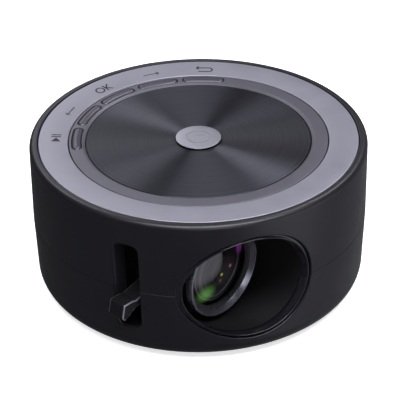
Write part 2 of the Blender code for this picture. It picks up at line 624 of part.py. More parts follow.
def make_keys():
    """Five keys with stems through the deck, their switches and the board that carries these."""
    names = ("key_play", "key_left", "key_ok", "key_right", "key_back")
    cap_bottom = DECK_TOP + KEY_TRAVEL + GAP
    cap_top = KEY_RING_TOP + KEY_PROUD
    to_origin = Matrix.Translation((-KEY_CIRCLE, 0.0, -cap_top))
    for name, turn in zip(names, key_azimuths()):
        place = (KEY_CIRCLE * math.cos(turn), KEY_CIRCLE * math.sin(turn), cap_top)
        mesh = bmesh.new()
        half = KEY_WIDTH / 2
        outline = arc_capsule(KEY_CIRCLE - half, KEY_CIRCLE + half, KEY_HALF_ANGLE, ARC_STEPS + 1)
        add_prism(mesh, outline, cap_bottom, cap_top, to_origin)
        top_edges = [edge for edge in mesh.edges if min(v.co.z for v in edge.verts) > -KEY_BEVEL]
        bmesh.ops.bevel(mesh, geom=top_edges, offset=KEY_BEVEL, segments=2, profile=0.5, affect="EDGES")
        key = add_object(name, mesh, GREY_PLASTIC, location=place, turn=turn)
        stem = bmesh.new()
        low = (-KEY_STEM[0] / 2, -KEY_STEM[1] / 2, SWITCH_TOP + KEY_TRAVEL + KEY_STEM_PLAY - cap_top)
        add_box(stem, low, (KEY_STEM[0] / 2, KEY_STEM[1] / 2, cap_bottom + OVERLAP - cap_top))
        combine(key, stem, "UNION", key)

    for index, turn in enumerate(key_azimuths(), start=1):
        place = (KEY_CIRCLE * math.cos(turn), KEY_CIRCLE * math.sin(turn), SWITCH_BOTTOM)
        mesh = bmesh.new()
        size_x, size_y, height = SWITCH_SIZE
        add_box(mesh, (-size_x / 2, -size_y / 2, 0.0), (size_x / 2, size_y / 2, height))
        switch = add_object(f"key_switch_{index}", mesh, STEEL, location=place, turn=turn)
        button = bmesh.new()
        radius, rise = SWITCH_BUTTON
        add_prism(button, circle(radius, SMALL_FACETS // 2), height / 2, height + rise)
        combine(switch, button, "UNION", switch)

    half_angle = KEY_PITCH * (KEY_COUNT - 1) / 2 + KEY_HALF_ANGLE
    half = KEY_BOARD_WIDTH / 2
    outline = arc_capsule(KEY_CIRCLE - half, KEY_CIRCLE + half, half_angle, 4 * ARC_STEPS)
    mesh = bmesh.new()
    frame = Matrix.Rotation(KEY_MIDDLE, 4, "Z")
    add_prism(mesh, outline, KEY_BOARD_TOP - KEY_BOARD_THICKNESS, KEY_BOARD_TOP, frame)
    add_object("key_board", mesh, CIRCUIT_BOARD)


# --- Lens, tunnel and focus lever ------------------------------------------------------------
def keep_inside_case(target, setback):
    """Trim a piece of the tunnel to the case's round wall."""
    inside = bmesh.new()
    add_prism(inside, circle(BODY_RADIUS - setback, CASE_FACETS), -MM, BODY_HEIGHT)
    combine(target, inside, "INTERSECT")


def make_tunnel():
    """The glossy bezel in the opening, and the tunnel behind it down to the focus ring."""
    bezel_out = OPENING_RADIUS - GAP
    bezel_in = bezel_out - BEZEL_WIDTH
    mesh = bmesh.new()
    profile = [(bezel_in, TUNNEL_BACK_W), (bezel_out, TUNNEL_BACK_W)]
    profile += [(bezel_out, BEYOND_CASE), (bezel_in, BEYOND_CASE)]
    add_turned(mesh, profile, LENS_FACETS, LENS_FRAME)
    bezel = add_object("lens_bezel", mesh, GLOSS_BLACK)
    keep_inside_case(bezel, BEZEL_SETBACK)
    behind = bmesh.new()
    core = BODY_RADIUS - BEZEL_SETBACK - BEZEL_DEPTH
    add_prism(behind, circle(core, CASE_FACETS), -MM, BODY_HEIGHT)
    combine(bezel, behind, "DIFFERENCE")

    tunnel_out = bezel_out
    tunnel_in = tunnel_out - TUNNEL_WALL
    hole = BARREL_RADIUS + 3 * RUNNING
    profile = [(hole, TUNNEL_BACK_W), (tunnel_out, TUNNEL_BACK_W), (tunnel_out, BEYOND_CASE)]
    profile += [(tunnel_in, BEYOND_CASE), (tunnel_in, TUNNEL_BACK_W + TUNNEL_FLANGE)]
    profile += [(hole, TUNNEL_BACK_W + TUNNEL_FLANGE)]
    mesh = bmesh.new()
    add_turned(mesh, profile, LENS_FACETS, LENS_FRAME)
    tunnel = add_object("lens_tunnel", mesh, MATT_BLACK)
    keep_inside_case(tunnel, BEZEL_SETBACK + BEZEL_DEPTH + GAP)


def make_lens(axis):
    """The sliding barrel, its nose ring and its two lenses."""
    cup_bore = CUP_RADIUS - CUP_WALL
    seat_bore = FRONT_LENS_RADIUS - FRONT_LENS_SEAT
    nose_back = NOSE_FRONT_W - NOSE_DEPTH
    cup_front = nose_back - GAP
    seat = cup_front - FRONT_LENS_EDGE - 4 * GAP
    profile = [(BARREL_BORE, BARREL_BACK_W), (BARREL_RADIUS, BARREL_BACK_W)]
    profile += [(BARREL_RADIUS, CUP_BACK_W), (CUP_RADIUS, CUP_BACK_W), (CUP_RADIUS, cup_front)]
    profile += [(cup_bore, cup_front), (cup_bore, seat), (seat_bore, seat)]
    profile += [(BARREL_BORE, seat - CUP_WALL)]
    mesh = bmesh.new()
    add_turned(mesh, profile, LENS_FACETS)
    add_object("lens_barrel", mesh, MATT_BLACK, axis)

    lip_w = NOSE_FRONT_W - NOSE_BEVEL
    profile = [(NOSE_OPENING_RADIUS, nose_back), (NOSE_RADIUS, nose_back), (NOSE_RADIUS, NOSE_FRONT_W)]
    profile += [(NOSE_RADIUS - NOSE_BEVEL / 3, NOSE_FRONT_W), (NOSE_RADIUS - NOSE_BEVEL, lip_w)]
    profile += [(NOSE_OPENING_RADIUS + MM, lip_w)]
    mesh = bmesh.new()
    add_turned(mesh, profile, LENS_FACETS)
    add_object("lens_nose_ring", mesh, GREY_METAL, axis)

    mesh = bmesh.new()
    lens = lens_profile(FRONT_LENS_RADIUS, FRONT_LENS_EDGE, FRONT_LENS_BULGE, FRONT_LENS_BULGE / 3)
    middle = seat + GAP + FRONT_LENS_EDGE / 2
    add_turned(mesh, lens, LENS_FACETS // 2, Matrix.Translation((0.0, 0.0, middle)))
    add_object("front_lens", mesh, GLASS, axis)
    mesh = bmesh.new()
    lens = lens_profile(REAR_LENS_RADIUS, REAR_LENS_EDGE, REAR_LENS_BULGE, REAR_LENS_BULGE)
    add_turned(mesh, lens, LENS_FACETS // 2, Matrix.Translation((0.0, 0.0, REAR_LENS_W)))
    add_object("rear_lens", mesh, GLASS, axis)


def make_focus_ring(axis):
    """The ring round the barrel, with the lever that comes out through the slot."""
    mesh = bmesh.new()
    inner = BARREL_RADIUS + RUNNING
    front = FOCUS_BACK_W + LEVER_WIDTH
    profile = [(inner, FOCUS_BACK_W), (FOCUS_RING_RADIUS, FOCUS_BACK_W)]
    profile += [(FOCUS_RING_RADIUS, front), (inner, front)]
    add_turned(mesh, profile, LENS_FACETS)
    ring = add_object("focus_ring", mesh, DARK_PLASTIC, axis)
    lever = bmesh.new()
    root = FOCUS_RING_RADIUS - OVERLAP
    knob = LEVER_LENGTH - KNOB_LENGTH
    outline = [(-root, LEVER_HALF_HEIGHT), (-knob, LEVER_HALF_HEIGHT)]
    outline += [(KNOB_SLANT - LEVER_LENGTH, KNOB_HALF_HEIGHT), (-LEVER_LENGTH, -KNOB_HALF_HEIGHT)]
    outline += [(-knob, -LEVER_HALF_HEIGHT), (-root, -LEVER_HALF_HEIGHT)]
    frame = Matrix.Rotation(-LEVER_REST, 4, "Z")
    add_prism(lever, outline, FOCUS_BACK_W, front, frame)
    combine(ring, lever, "UNION", axis)


# --- Light engine ----------------------------------------------------------------------------
def make_engine(axis):
    """The holder the barrel slides in, the engine's case and the optical sheets inside it."""
    inner_half_width = ENGINE_HALF_WIDTH - ENGINE_WALL
    inner_half_height = ENGINE_HALF_HEIGHT - ENGINE_WALL
    bore = BARREL_RADIUS + RUNNING
    mesh = bmesh.new()
    outline = rectangle(ENGINE_HALF_WIDTH, ENGINE_HALF_HEIGHT, rounding=MM)
    add_prism(mesh, outline, HOLDER_PLATE_BACK_W, HOLDER_FRONT_W)
    holder = add_object("lens_holder", mesh, MATT_BLACK, axis)
    tube = bmesh.new()
    tube_circle = circle(bore + HOLDER_TUBE_WALL, LENS_FACETS)
    add_prism(tube, tube_circle, HOLDER_TUBE_BACK_W, HOLDER_PLATE_BACK_W + OVERLAP)
    combine(holder, tube, "UNION", axis)
    hole = bmesh.new()
    add_prism(hole, circle(bore, LENS_FACETS), HOLDER_TUBE_BACK_W - MM, HOLDER_FRONT_W + MM)
    combine(holder, hole, "DIFFERENCE", axis)

    mesh = bmesh.new()
    add_prism(mesh, outline, ENGINE_BACK_W, ENGINE_FRONT_W)
    engine = add_object("engine_case", mesh, MATT_BLACK, axis)
    hollow = bmesh.new()
    outline = rectangle(inner_half_width, inner_half_height)
    add_prism(hollow, outline, ENGINE_BACK_W + ENGINE_WALL, ENGINE_FRONT_W + MM)
    combine(engine, hollow, "DIFFERENCE", axis)
    window = bmesh.new()
    outline = circle(CONDENSER_RADIUS - ENGINE_WALL, LENS_FACETS // 2)
    add_prism(window, outline, ENGINE_BACK_W - MM, ENGINE_BACK_W + 2 * ENGINE_WALL)
    combine(engine, window, "DIFFERENCE", axis)

    for name, front, thickness in SHEET_LAYERS:
        mesh = bmesh.new()
        outline = rectangle(inner_half_width - GAP, inner_half_height - GAP)
        add_prism(mesh, outline, front - thickness, front)
        add_object(name, mesh, DISPLAY if name == "lcd_panel" else GLASS, axis)
    mesh = bmesh.new()
    lens = lens_profile(CONDENSER_RADIUS, CONDENSER_EDGE, CONDENSER_BULGE, CONDENSER_BULGE / 2)
    add_turned(mesh, lens, LENS_FACETS // 2, Matrix.Translation((0.0, 0.0, CONDENSER_W)))
    add_object("condenser_lens", mesh, GLASS, axis)


def make_lamp(axis):
    """The LED, its board and the finned heatsink behind the engine."""
    board_front = ENGINE_BACK_W - GAP
    board_back = board_front - LED_BOARD_THICKNESS
    mesh = bmesh.new()
    add_prism(mesh, rectangle(LED_BOARD_HALF, LED_BOARD_HALF), board_back, board_front)
    add_object("led_board", mesh, ALUMINIUM, axis)
    mesh = bmesh.new()
    add_prism(mesh, rectangle(LED_HALF, LED_HALF), board_front + GAP, board_front + GAP + LED_THICKNESS)
    add_object("lamp_led", mesh, PHOSPHOR, axis)

    sink_front = board_back - GAP
    mesh = bmesh.new()
    outline = rectangle(HEATSINK_HALF_WIDTH, HEATSINK_HALF_HEIGHT)
    add_prism(mesh, outline, sink_front - HEATSINK_DEPTH, sink_front)
    sink = add_object("heatsink", mesh, ALUMINIUM, axis)
    channels = bmesh.new()
    pitch = (2 * HEATSINK_HALF_WIDTH - FIN_THICKNESS) / (FIN_COUNT - 1)
    half = (pitch - FIN_THICKNESS) / 2
    for index in range(FIN_COUNT - 1):
        centre = -HEATSINK_HALF_WIDTH + FIN_THICKNESS + half + index * pitch
        outline = rectangle(half, HEATSINK_HALF_HEIGHT + MM, (centre, 0.0))
        add_prism(channels, outline, sink_front - HEATSINK_DEPTH - MM, sink_front - HEATSINK_BASE)
    combine(sink, channels, "DIFFERENCE", axis)


# --- Fan -------------------------------------------------------------------------------------
def make_fan():
    """An axial fan that blows out through the side vents. Its own +Z points outwards."""
    out = FAN_FRAME @ Matrix.Translation((0.0, FAN_FRONT_Y - FAN_THICKNESS, FAN_CENTRE_HEIGHT))
    out = out @ Matrix.Rotation(-math.pi / 2, 4, "X")
    axis = add_frame("fan_axis", out)
    mesh = bmesh.new()
    add_prism(mesh, rectangle(FAN_SIZE / 2, FAN_SIZE / 2, rounding=2 * MM), 0.0, FAN_THICKNESS)
    frame = add_object("fan_frame", mesh, MATT_BLACK, axis)
    duct = bmesh.new()
    add_prism(duct, circle(FAN_DUCT_RADIUS, LENS_FACETS), -MM, FAN_THICKNESS + MM)
    combine(frame, duct, "DIFFERENCE", axis)
    spokes = bmesh.new()
    reach = FAN_DUCT_RADIUS + OVERLAP
    half = FAN_SPOKE_WIDTH / 2
    star = []
    for turn in range(4):
        quarter = Matrix.Rotation(turn * math.pi / 2, 2)
        corners = [Vector((half, -half)), Vector((reach, -half)), Vector((reach, half))]
        star += [tuple(quarter @ corner) for corner in corners]
    add_prism(spokes, star, 0.0, FAN_SPOKE_THICKNESS)
    combine(frame, spokes, "UNION", axis)
    motor = bmesh.new()
    motor_top = FAN_SPOKE_THICKNESS + FAN_MOTOR_PROUD
    add_prism(motor, circle(FAN_HUB_RADIUS - MM, SMALL_FACETS), FAN_MOTOR_PROUD, motor_top)
    combine(frame, motor, "UNION", axis)

    rotor_low = motor_top + RUNNING
    rotor_high = FAN_THICKNESS - 2 * RUNNING
    mesh = bmesh.new()
    add_prism(mesh, circle(FAN_HUB_RADIUS, SMALL_FACETS), rotor_low, rotor_high)
    rotor = add_object("fan_rotor", mesh, MATT_BLACK, axis)
    blades = bmesh.new()
    middle = (rotor_low + rotor_high) / 2
    chord = (rotor_high - rotor_low - MM) / math.cos(FAN_BLADE_PITCH)
    for index in range(FAN_BLADES):
        spin = Matrix.Rotation(2 * math.pi * index / FAN_BLADES, 4, "Z")
        tilt = Matrix.Translation((0.0, 0.0, middle)) @ Matrix.Rotation(FAN_BLADE_PITCH, 4, "X")
        half = FAN_BLADE_THICKNESS / 2
        low = (FAN_HUB_RADIUS - MM, -half, -chord / 2 + half)
        add_box(blades, low, (FAN_BLADE_RADIUS, half, chord / 2 - half), spin @ tilt)
    combine(rotor, blades, "UNION", axis)


# --- Sockets, board and speaker --------------------------------------------------------------
def board_posts():
    """Places of the posts under the board, in the sockets' frame."""
    x = BOARD_HALF_WIDTH - BOARD_POST_INSET
    near = BOARD_BACK_Y - BOARD_POST_INSET
    far = BOARD_BACK_Y - BOARD_LENGTH + BOARD_POST_INSET
    return [(-x, near), (x, near), (-x, far), (x, far)]


def socket_places():
    """Each socket's centre across the plate, spread evenly with the jack last."""
    widths = [size[1] for size in SOCKETS] + [JACK_SIZE[0]]
    left = -(sum(widths) + SOCKET_SPACE * (len(widths) - 1)) / 2
    places = []
    for width in widths:
        places.append(left + width / 2)
        left += width + SOCKET_SPACE
    return places


def make_sockets():
    """The recessed tray in the case's wall, and the sockets that stand in its plate."""
    side = add_frame("port_side", PORT_FRAME)
    half_width = PORT_HALF_WIDTH - GAP
    low, high = PORT_LOW + GAP, PORT_HIGH - GAP
    mesh = bmesh.new()
    add_box(mesh, (-half_width, PORT_PLATE_Y - PORT_PLATE, low), (half_width, BEYOND_CASE, high))
    tray = add_object("port_plate", mesh, DARK_PLASTIC, side)
    recess = bmesh.new()
    corner = (-BEYOND_CASE, PORT_PLATE_Y, low + PORT_TRAY_WALL)
    add_box(recess, corner, (BEYOND_CASE, BEYOND_CASE + MM, high - PORT_TRAY_WALL))
    combine(tray, recess, "DIFFERENCE", side)
    inside = bmesh.new()
    add_prism(inside, circle(BODY_RADIUS - BEZEL_SETBACK, CASE_FACETS), -MM, BODY_HEIGHT)
    combine(tray, inside, "INTERSECT")

    holes = bmesh.new()
    front = PORT_PLATE_Y + SOCKET_PROUD
    seat = BOARD_TOP + GAP
    upright = Matrix.Rotation(math.pi / 2, 4, "X")
    places = socket_places()
    for place, (name, width, height, depth, shell, tongue, corner_round) in zip(places, SOCKETS):
        centre = (place, seat + height / 2)
        mesh = bmesh.new()
        outline = rectangle(width / 2, height / 2, centre, corner_round)
        add_prism(mesh, outline, -front, depth - front, upright)
        socket = add_object(name, mesh, STEEL, side)
        cavity = bmesh.new()
        inner_round = max(corner_round - shell, 0.0)
        mouth = rectangle(width / 2 - shell, height / 2 - shell, centre, inner_round)
        floor = depth - front - SOCKET_BACK
        add_prism(cavity, mouth, -front - MM, floor, upright)
        combine(socket, cavity, "DIFFERENCE", side)
        blade = bmesh.new()
        outline = rectangle(width * SOCKET_TONGUE_SHARE / 2, tongue / 2, centre)
        add_prism(blade, outline, -front + MM, floor + OVERLAP, upright)
        combine(socket, blade, "UNION", side)
        hole = rectangle(width / 2 + GAP, height / 2 + GAP, centre)
        add_prism(holes, hole, -PORT_PLATE_Y - MM, -PORT_PLATE_Y + PORT_PLATE + MM, upright)

    width, height, depth = JACK_SIZE
    centre = (places[-1], seat + height / 2)
    mesh = bmesh.new()
    add_prism(mesh, rectangle(width / 2, height / 2, centre), -front, depth - front, upright)
    jack = add_object("audio_jack", mesh, MATT_BLACK, side)
    bore = bmesh.new()
    bore_circle = circle(JACK_HOLE_RADIUS, SMALL_FACETS, centre)
    add_prism(bore, bore_circle, -front - MM, depth - front - SOCKET_BACK, upright)
    combine(jack, bore, "DIFFERENCE", side)
    hole = rectangle(width / 2 + GAP, height / 2 + GAP, centre)
    add_prism(holes, hole, -PORT_PLATE_Y - MM, -PORT_PLATE_Y + PORT_PLATE + MM, upright)
    combine(tray, holes, "DIFFERENCE", side)

    mesh = bmesh.new()
    low = (-BOARD_HALF_WIDTH, BOARD_BACK_Y - BOARD_LENGTH, BOARD_BOTTOM)
    add_box(mesh, low, (BOARD_HALF_WIDTH, BOARD_BACK_Y, BOARD_TOP))
    add_object("main_board", mesh, CIRCUIT_BOARD, side)
    chip_y = BOARD_BACK_Y - BOARD_LENGTH * CHIP_PLACE
    chip_low = BOARD_TOP + GAP
    mesh = bmesh.new()
    outline = rectangle(CHIP_HALF, CHIP_HALF, (0.0, chip_y))
    add_prism(mesh, outline, chip_low, chip_low + CHIP_THICKNESS)
    add_object("video_chip", mesh, MATT_BLACK, side)
    mesh = bmesh.new()
    sink_low = chip_low + CHIP_THICKNESS + GAP
    add_prism(mesh, outline, sink_low, sink_low + CHIP_SINK_HEIGHT)
    add_object("chip_heatsink", mesh, ALUMINIUM, side)


def make_speaker():
    """A small speaker that faces down onto its slots in the floor."""
    x, y = SPEAKER_CENTRE
    low = FLOOR_TOP + GAP
    rim = SPEAKER_RIM
    magnet_low = low + SPEAKER_HEIGHT + GAP
    cone_in = SPEAKER_CAP_RADIUS
    profile = [(SPEAKER_CONE_RADIUS, low), (SPEAKER_RADIUS, low), (SPEAKER_RADIUS, low + rim)]
    profile += [(SPEAKER_MAGNET_RADIUS, low + SPEAKER_HEIGHT), (cone_in, low + SPEAKER_HEIGHT)]
    profile += [(cone_in, low + SPEAKER_HEIGHT - rim), (SPEAKER_CONE_RADIUS, low + rim / 2)]
    mesh = bmesh.new()
    add_turned(mesh, profile, LENS_FACETS // 2)
    add_object("speaker_basket", mesh, STEEL, location=(x, y, 0.0))
    rise = SPEAKER_HEIGHT - 2 * rim
    reach = SPEAKER_CONE_RADIUS - 2 * rim
    thin = SPEAKER_CONE_THICKNESS
    profile = [(reach, low), (reach, low + thin), (cone_in, low + rise), (0.0, low + rise)]
    profile += [(0.0, low + rise - thin), (cone_in, low + rise - thin)]
    mesh = bmesh.new()
    add_turned(mesh, profile, LENS_FACETS // 2)
    add_object("speaker_cone", mesh, PAPER, location=(x, y, 0.0))
    mesh = bmesh.new()
    magnet = circle(SPEAKER_MAGNET_RADIUS, LENS_FACETS // 2)
    add_prism(mesh, magnet, magnet_low, magnet_low + SPEAKER_MAGNET_HEIGHT)
    add_object("speaker_magnet", mesh, STEEL, location=(x, y, 0.0))


# --- The whole object ------------------------------------------------------------------------
for old in list(bpy.data.objects):
    bpy.data.objects.remove(old)

DARK_PLASTIC = material("dark_plastic", (0.018, 0.018, 0.024), 0.45)
GREY_PLASTIC = material("grey_plastic", (0.115, 0.110, 0.130), 0.40)
MATT_BLACK = material("matt_black", (0.008, 0.008, 0.009), 0.65)
GLOSS_BLACK = material("gloss_black", (0.006, 0.006, 0.007), 0.12)
PALE_METAL = material("pale_metal", (0.33, 0.32, 0.36), 0.35, 0.6)
TURNED_METAL = material("turned_metal", (0.14, 0.14, 0.16), 0.30, 0.9)
GREY_METAL = material("grey_metal", (0.20, 0.20, 0.22), 0.30, 0.9)
ALUMINIUM = material("aluminium", (0.60, 0.60, 0.62), 0.35, 1.0)
STEEL = material("steel", (0.45, 0.45, 0.47), 0.30, 1.0)
RUBBER = material("rubber", (0.015, 0.015, 0.015), 0.85)
CIRCUIT_BOARD = material("circuit_board", (0.010, 0.075, 0.030), 0.50)
DISPLAY = material("display", (0.015, 0.020, 0.035), 0.10)
PHOSPHOR = material("phosphor", (0.80, 0.68, 0.15), 0.40)
PAPER = material("paper", (0.05, 0.05, 0.05), 0.90)
GLASS = material("glass", (0.75, 0.85, 0.85), 0.03, alpha=0.35)

LENS_AXIS = add_frame("lens_axis", LENS_FRAME)
make_upper_shell()
make_lower_shell()
make_feet_and_screws()
make_top_trim()
make_keys()
make_tunnel()
make_lens(LENS_AXIS)
make_focus_ring(LENS_AXIS)
make_engine(LENS_AXIS)
make_lamp(LENS_AXIS)
make_fan()
make_sockets()
make_speaker()
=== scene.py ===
"""Looks of the round home projector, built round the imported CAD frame.

Every outer piece is rebuilt with fine turned, swept and cut meshes in the place the frame gives, and
every piece gets a procedural material. Lengths are in metres, +Z is up, the lens looks along -Y.
"""

import json
import math

import bmesh
import bpy
from mathutils import Matrix, Vector

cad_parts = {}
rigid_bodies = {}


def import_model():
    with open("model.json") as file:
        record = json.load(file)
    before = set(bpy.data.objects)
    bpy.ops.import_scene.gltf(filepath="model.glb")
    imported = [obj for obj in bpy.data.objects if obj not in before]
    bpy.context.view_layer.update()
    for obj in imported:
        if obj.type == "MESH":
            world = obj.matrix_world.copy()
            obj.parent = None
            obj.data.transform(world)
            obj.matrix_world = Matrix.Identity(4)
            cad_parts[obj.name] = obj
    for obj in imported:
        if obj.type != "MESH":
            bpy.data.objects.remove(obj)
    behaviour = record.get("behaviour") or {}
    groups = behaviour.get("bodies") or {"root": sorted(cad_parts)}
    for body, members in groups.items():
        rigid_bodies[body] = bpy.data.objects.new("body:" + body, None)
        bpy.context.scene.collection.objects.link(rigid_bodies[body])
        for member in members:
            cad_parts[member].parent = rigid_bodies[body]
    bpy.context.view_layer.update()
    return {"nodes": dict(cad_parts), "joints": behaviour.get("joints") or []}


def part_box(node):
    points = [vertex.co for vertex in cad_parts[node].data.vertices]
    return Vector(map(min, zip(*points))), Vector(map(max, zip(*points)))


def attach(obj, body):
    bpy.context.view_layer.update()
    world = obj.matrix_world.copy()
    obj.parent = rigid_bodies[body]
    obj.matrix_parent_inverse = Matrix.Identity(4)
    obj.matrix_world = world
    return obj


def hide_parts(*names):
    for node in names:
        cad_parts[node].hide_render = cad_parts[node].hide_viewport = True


for old in list(bpy.data.objects):
    bpy.data.objects.remove(old)

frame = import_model()

MM = 0.001
TURN = 2 * math.pi


def low(node):
    """Lowest corner of a CAD node."""
    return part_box(node)[0]


def high(node):
    """Highest corner of a CAD node."""
    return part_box(node)[1]


def joint_place(name):
    """The point a joint of the record turns about."""
    return Vector(next(joint["pos_m"] for joint in frame["joints"] if joint["name"] == name))


def azimuth_of(node):
    """Azimuth of the middle of a CAD node."""
    points = [vert.co for vert in frame["nodes"][node].data.vertices]
    middle = sum(points, Vector()) / len(points)
    return math.atan2(middle.y, middle.x)


# --- Places taken from the frame -------------------------------------------------------------
GAP = 0.3 * MM
CASE_RADIUS = high("upper_shell").x
RIM_TOP = high("upper_shell").z
BASE_LEVEL = low("lower_shell").z
LAP = 1.65 * MM
SEAM = high("lower_shell").z - LAP
TOP_RING_OUT = high("top_ring").x
KEY_RING_OUT = high("key_ring").x
TOP_RING_IN = KEY_RING_OUT + GAP
KEY_RING_TOP = high("key_ring").z
DIAL_RADIUS = high("dial_plate").x
DIAL_TOP = high("dial_plate").z
KEY_RING_IN = DIAL_RADIUS + GAP
BADGE_RADIUS = high("centre_badge").x
BADGE_TOP = high("centre_badge").z
TRIM_BOTTOM = low("top_ring").z
DECK_TOP = TRIM_BOTTOM - GAP
KEY_TOP = high("key_ok").z
LENS_AXIS = joint_place("focus_turn")
LENS_X = LENS_AXIS.x
LENS_Z = LENS_AXIS.z
NOSE_RADIUS = high("lens_nose_ring").x - LENS_X
NOSE_FRONT = -low("lens_nose_ring").y
NOSE_BACK = -high("lens_nose_ring").y
FRONT_LENS_RADIUS = high("front_lens").x - LENS_X
FRONT_LENS_TIP = -low("front_lens").y
FRONT_LENS_BACK = -high("front_lens").y
TUNNEL_BACK = -high("lens_tunnel").y
BARREL_BACK = -high("lens_barrel").y

# --- Case ------------------------------------------------------------------------------------
WALL = 2.0 * MM
BASE_ROUND = 7.0 * MM
BASE_TAPER = 1.1 * MM
SHOULDER_ROUND = 1.9 * MM
RIM_WIDTH = 3.0 * MM
DECK = 1.8 * MM
SEAM_EDGE = 0.12 * MM
SEAM_GAP = 0.10 * MM
OPENING_RADIUS = 21.0 * MM
OPENING_EDGE = 0.35 * MM
SLOT_WIDTH = 8.6 * MM
SLOT_HALF_HEIGHT = 16.95 * MM
SLOT_ROUND = 2.5 * MM
SLOT_EDGE = 0.5 * MM
SLOT_LINER_DEPTH = 5.4 * MM
BEZEL_WIDTH = 1.1 * MM
BEZEL_SETBACK = 0.2 * MM
BEZEL_DEPTH = 3.0 * MM
TUNNEL_WALL = 1.5 * MM
SIDE_VENT_COUNT = 7
SIDE_VENT_MIDDLE = math.radians(-20.0)
SIDE_VENT_PITCH = math.radians(5.0)
SIDE_VENT_WIDTH = 1.7 * MM
SIDE_VENT_ROWS = ((9.0 * MM, 25.5 * MM), (30.5 * MM, 47.0 * MM))
PORT_AZIMUTH = math.radians(60.0)
PORT_HALF_WIDTH = 26.0 * MM
PORT_LOW = 7.0 * MM
PORT_HIGH = 18.0 * MM
FLOOR = 2.0 * MM
FLOOR_SLOTS = (
    ((16.0 * MM, -36.0 * MM), 5, 3.6 * MM, (14.0 * MM, 1.4 * MM)),
    ((-12.0 * MM, 32.5 * MM), 7, 3.6 * MM, (18.0 * MM, 1.6 * MM)),
)  # centre, count, pitch and size of each row of slots
FEET = [f"foot_{number}" for number in range(1, 5)]
SCREWS = [f"case_screw_{number}" for number in range(1, 5)]
FOOT_DISH = 0.25 * MM
SCREW_WELL = 1.6 * MM
SCREW_HEAD = 1.3 * MM
SCREW_SHANK = 1.0 * MM
CROSS_ARM = 1.25 * MM
CROSS_HALF_WIDTH = 0.3 * MM
CROSS_DEPTH = 0.9 * MM
SLOT_CUT_DEPTH = 6.0 * MM

# --- Camera ----------------------------------------------------------------------------------
CAMERA_SIDE = math.radians(-136.3)  # azimuth of the camera seen from the object
CAMERA_HEIGHT = math.radians(30.04)
CAMERA_DISTANCE = 693.33 * MM
CAMERA_AIM = Vector((0.16, -0.17, 29.31)) * MM
CAMERA_ROLL = math.radians(0.865)
CAMERA_LENS = 172.9

# --- Facets ----------------------------------------------------------------------------------
CASE_FACETS = 288
LENS_FACETS = 144
SMALL_FACETS = 40
ROUND_STEPS = 5
SMOOTH_ANGLE = math.radians(32.0)
BEVEL_SEGMENTS = 3
BEVEL_SMOOTH_ANGLE = math.radians(50.0)
MERGE_DISTANCE = 0.0005 * MM


# --- Outlines --------------------------------------------------------------------------------
def arc(centre, radius, start, end, steps):
    """Points along an arc, both ends included."""
    angles = [start + (end - start) * step / steps for step in range(steps + 1)]
    return [(centre[0] + radius * math.cos(a), centre[1] + radius * math.sin(a)) for a in angles]


def rounded(corners, steps=ROUND_STEPS):
    """Closed outline through corners (x, y, rounding)."""
    outline = []
    count = len(corners)
    for index, (x, y, rounding) in enumerate(corners):
        here = Vector((x, y))
        before = (Vector(corners[index - 1][:2]) - here).normalized()
        after = (Vector(corners[(index + 1) % count][:2]) - here).normalized()
        if rounding <= 0.0:
            outline.append((x, y))
            continue
        half = before.angle(after) / 2
        reach = rounding / math.tan(half)
        middle = here + (before + after).normalized() * rounding / math.sin(half)
        first = here + before * reach - middle
        sweep = first.angle_signed(here + after * reach - middle)
        for step in range(steps + 1):
            turned_by = Matrix.Rotation(-sweep * step / steps, 2) @ first
            outline.append(tuple(middle + turned_by))
    return outline


def round_rectangle(half_x, half_y, rounding, centre=(0.0, 0.0), steps=ROUND_STEPS):
    """Outline of a rectangle with round corners, counter-clockwise."""
    outline = []
    for quarter, (x, y) in enumerate([(1, 1), (-1, 1), (-1, -1), (1, -1)]):
        corner = (centre[0] + x * (half_x - rounding), centre[1] + y * (half_y - rounding))
        start = quarter * math.pi / 2
        outline += arc(corner, rounding, start, start + math.pi / 2, steps)
    return outline


def square(reach):
    """Outline of a square about the origin."""
    return [(-reach, -reach), (reach, -reach), (reach, reach), (-reach, reach)]


def circle(centre, radius):
    """Outline of a small circle."""
    return arc(centre, radius, 0.0, TURN * (1 - 1 / SMALL_FACETS), SMALL_FACETS - 1)


def bent_capsule(middle, half_width, bend, steps, end_steps):
    """Outline of a bent strip with round ends about the origin, with a fixed count of points."""
    outline = arc((0.0, 0.0), middle + half_width, -bend, bend, steps)
    tip = (middle * math.cos(bend), middle * math.sin(bend))
    outline += arc(tip, half_width, bend, bend + math.pi, end_steps)[1:-1]
    outline += arc((0.0, 0.0), middle - half_width, bend, -bend, steps)
    tip = (middle * math.cos(bend), -middle * math.sin(bend))
    outline += arc(tip, half_width, math.pi - bend, 2 * math.pi - bend, end_steps)[1:-1]
    return outline


# --- Meshes ----------------------------------------------------------------------------------
def new_object(name, data):
    """An object of some data, linked to the scene."""
    made = bpy.data.objects.new(name, data)
    bpy.context.scene.collection.objects.link(made)
    return made


def smooth(data, angle=SMOOTH_ANGLE):
    """Smooth shading, with edges sharper than an angle kept sharp."""
    data.shade_smooth()
    data.set_sharp_from_angle(angle=angle)


def make_object(name, verts, faces, finish=None):
    """An object of a mesh, with merged poles, outward normals and smooth shading."""
    mesh = bmesh.new()
    made = [mesh.verts.new(point) for point in verts]
    for face in faces:
        mesh.faces.new([made[index] for index in face])
    bmesh.ops.remove_doubles(mesh, verts=mesh.verts, dist=MERGE_DISTANCE)
    bmesh.ops.dissolve_degenerate(mesh, edges=mesh.edges, dist=MERGE_DISTANCE)
    bmesh.ops.recalc_face_normals(mesh, faces=mesh.faces)
    data = bpy.data.meshes.new(name)
    mesh.to_mesh(data)
    mesh.free()
    smooth(data)
    if finish is not None:
        data.materials.append(finish)
    return new_object(name, data)


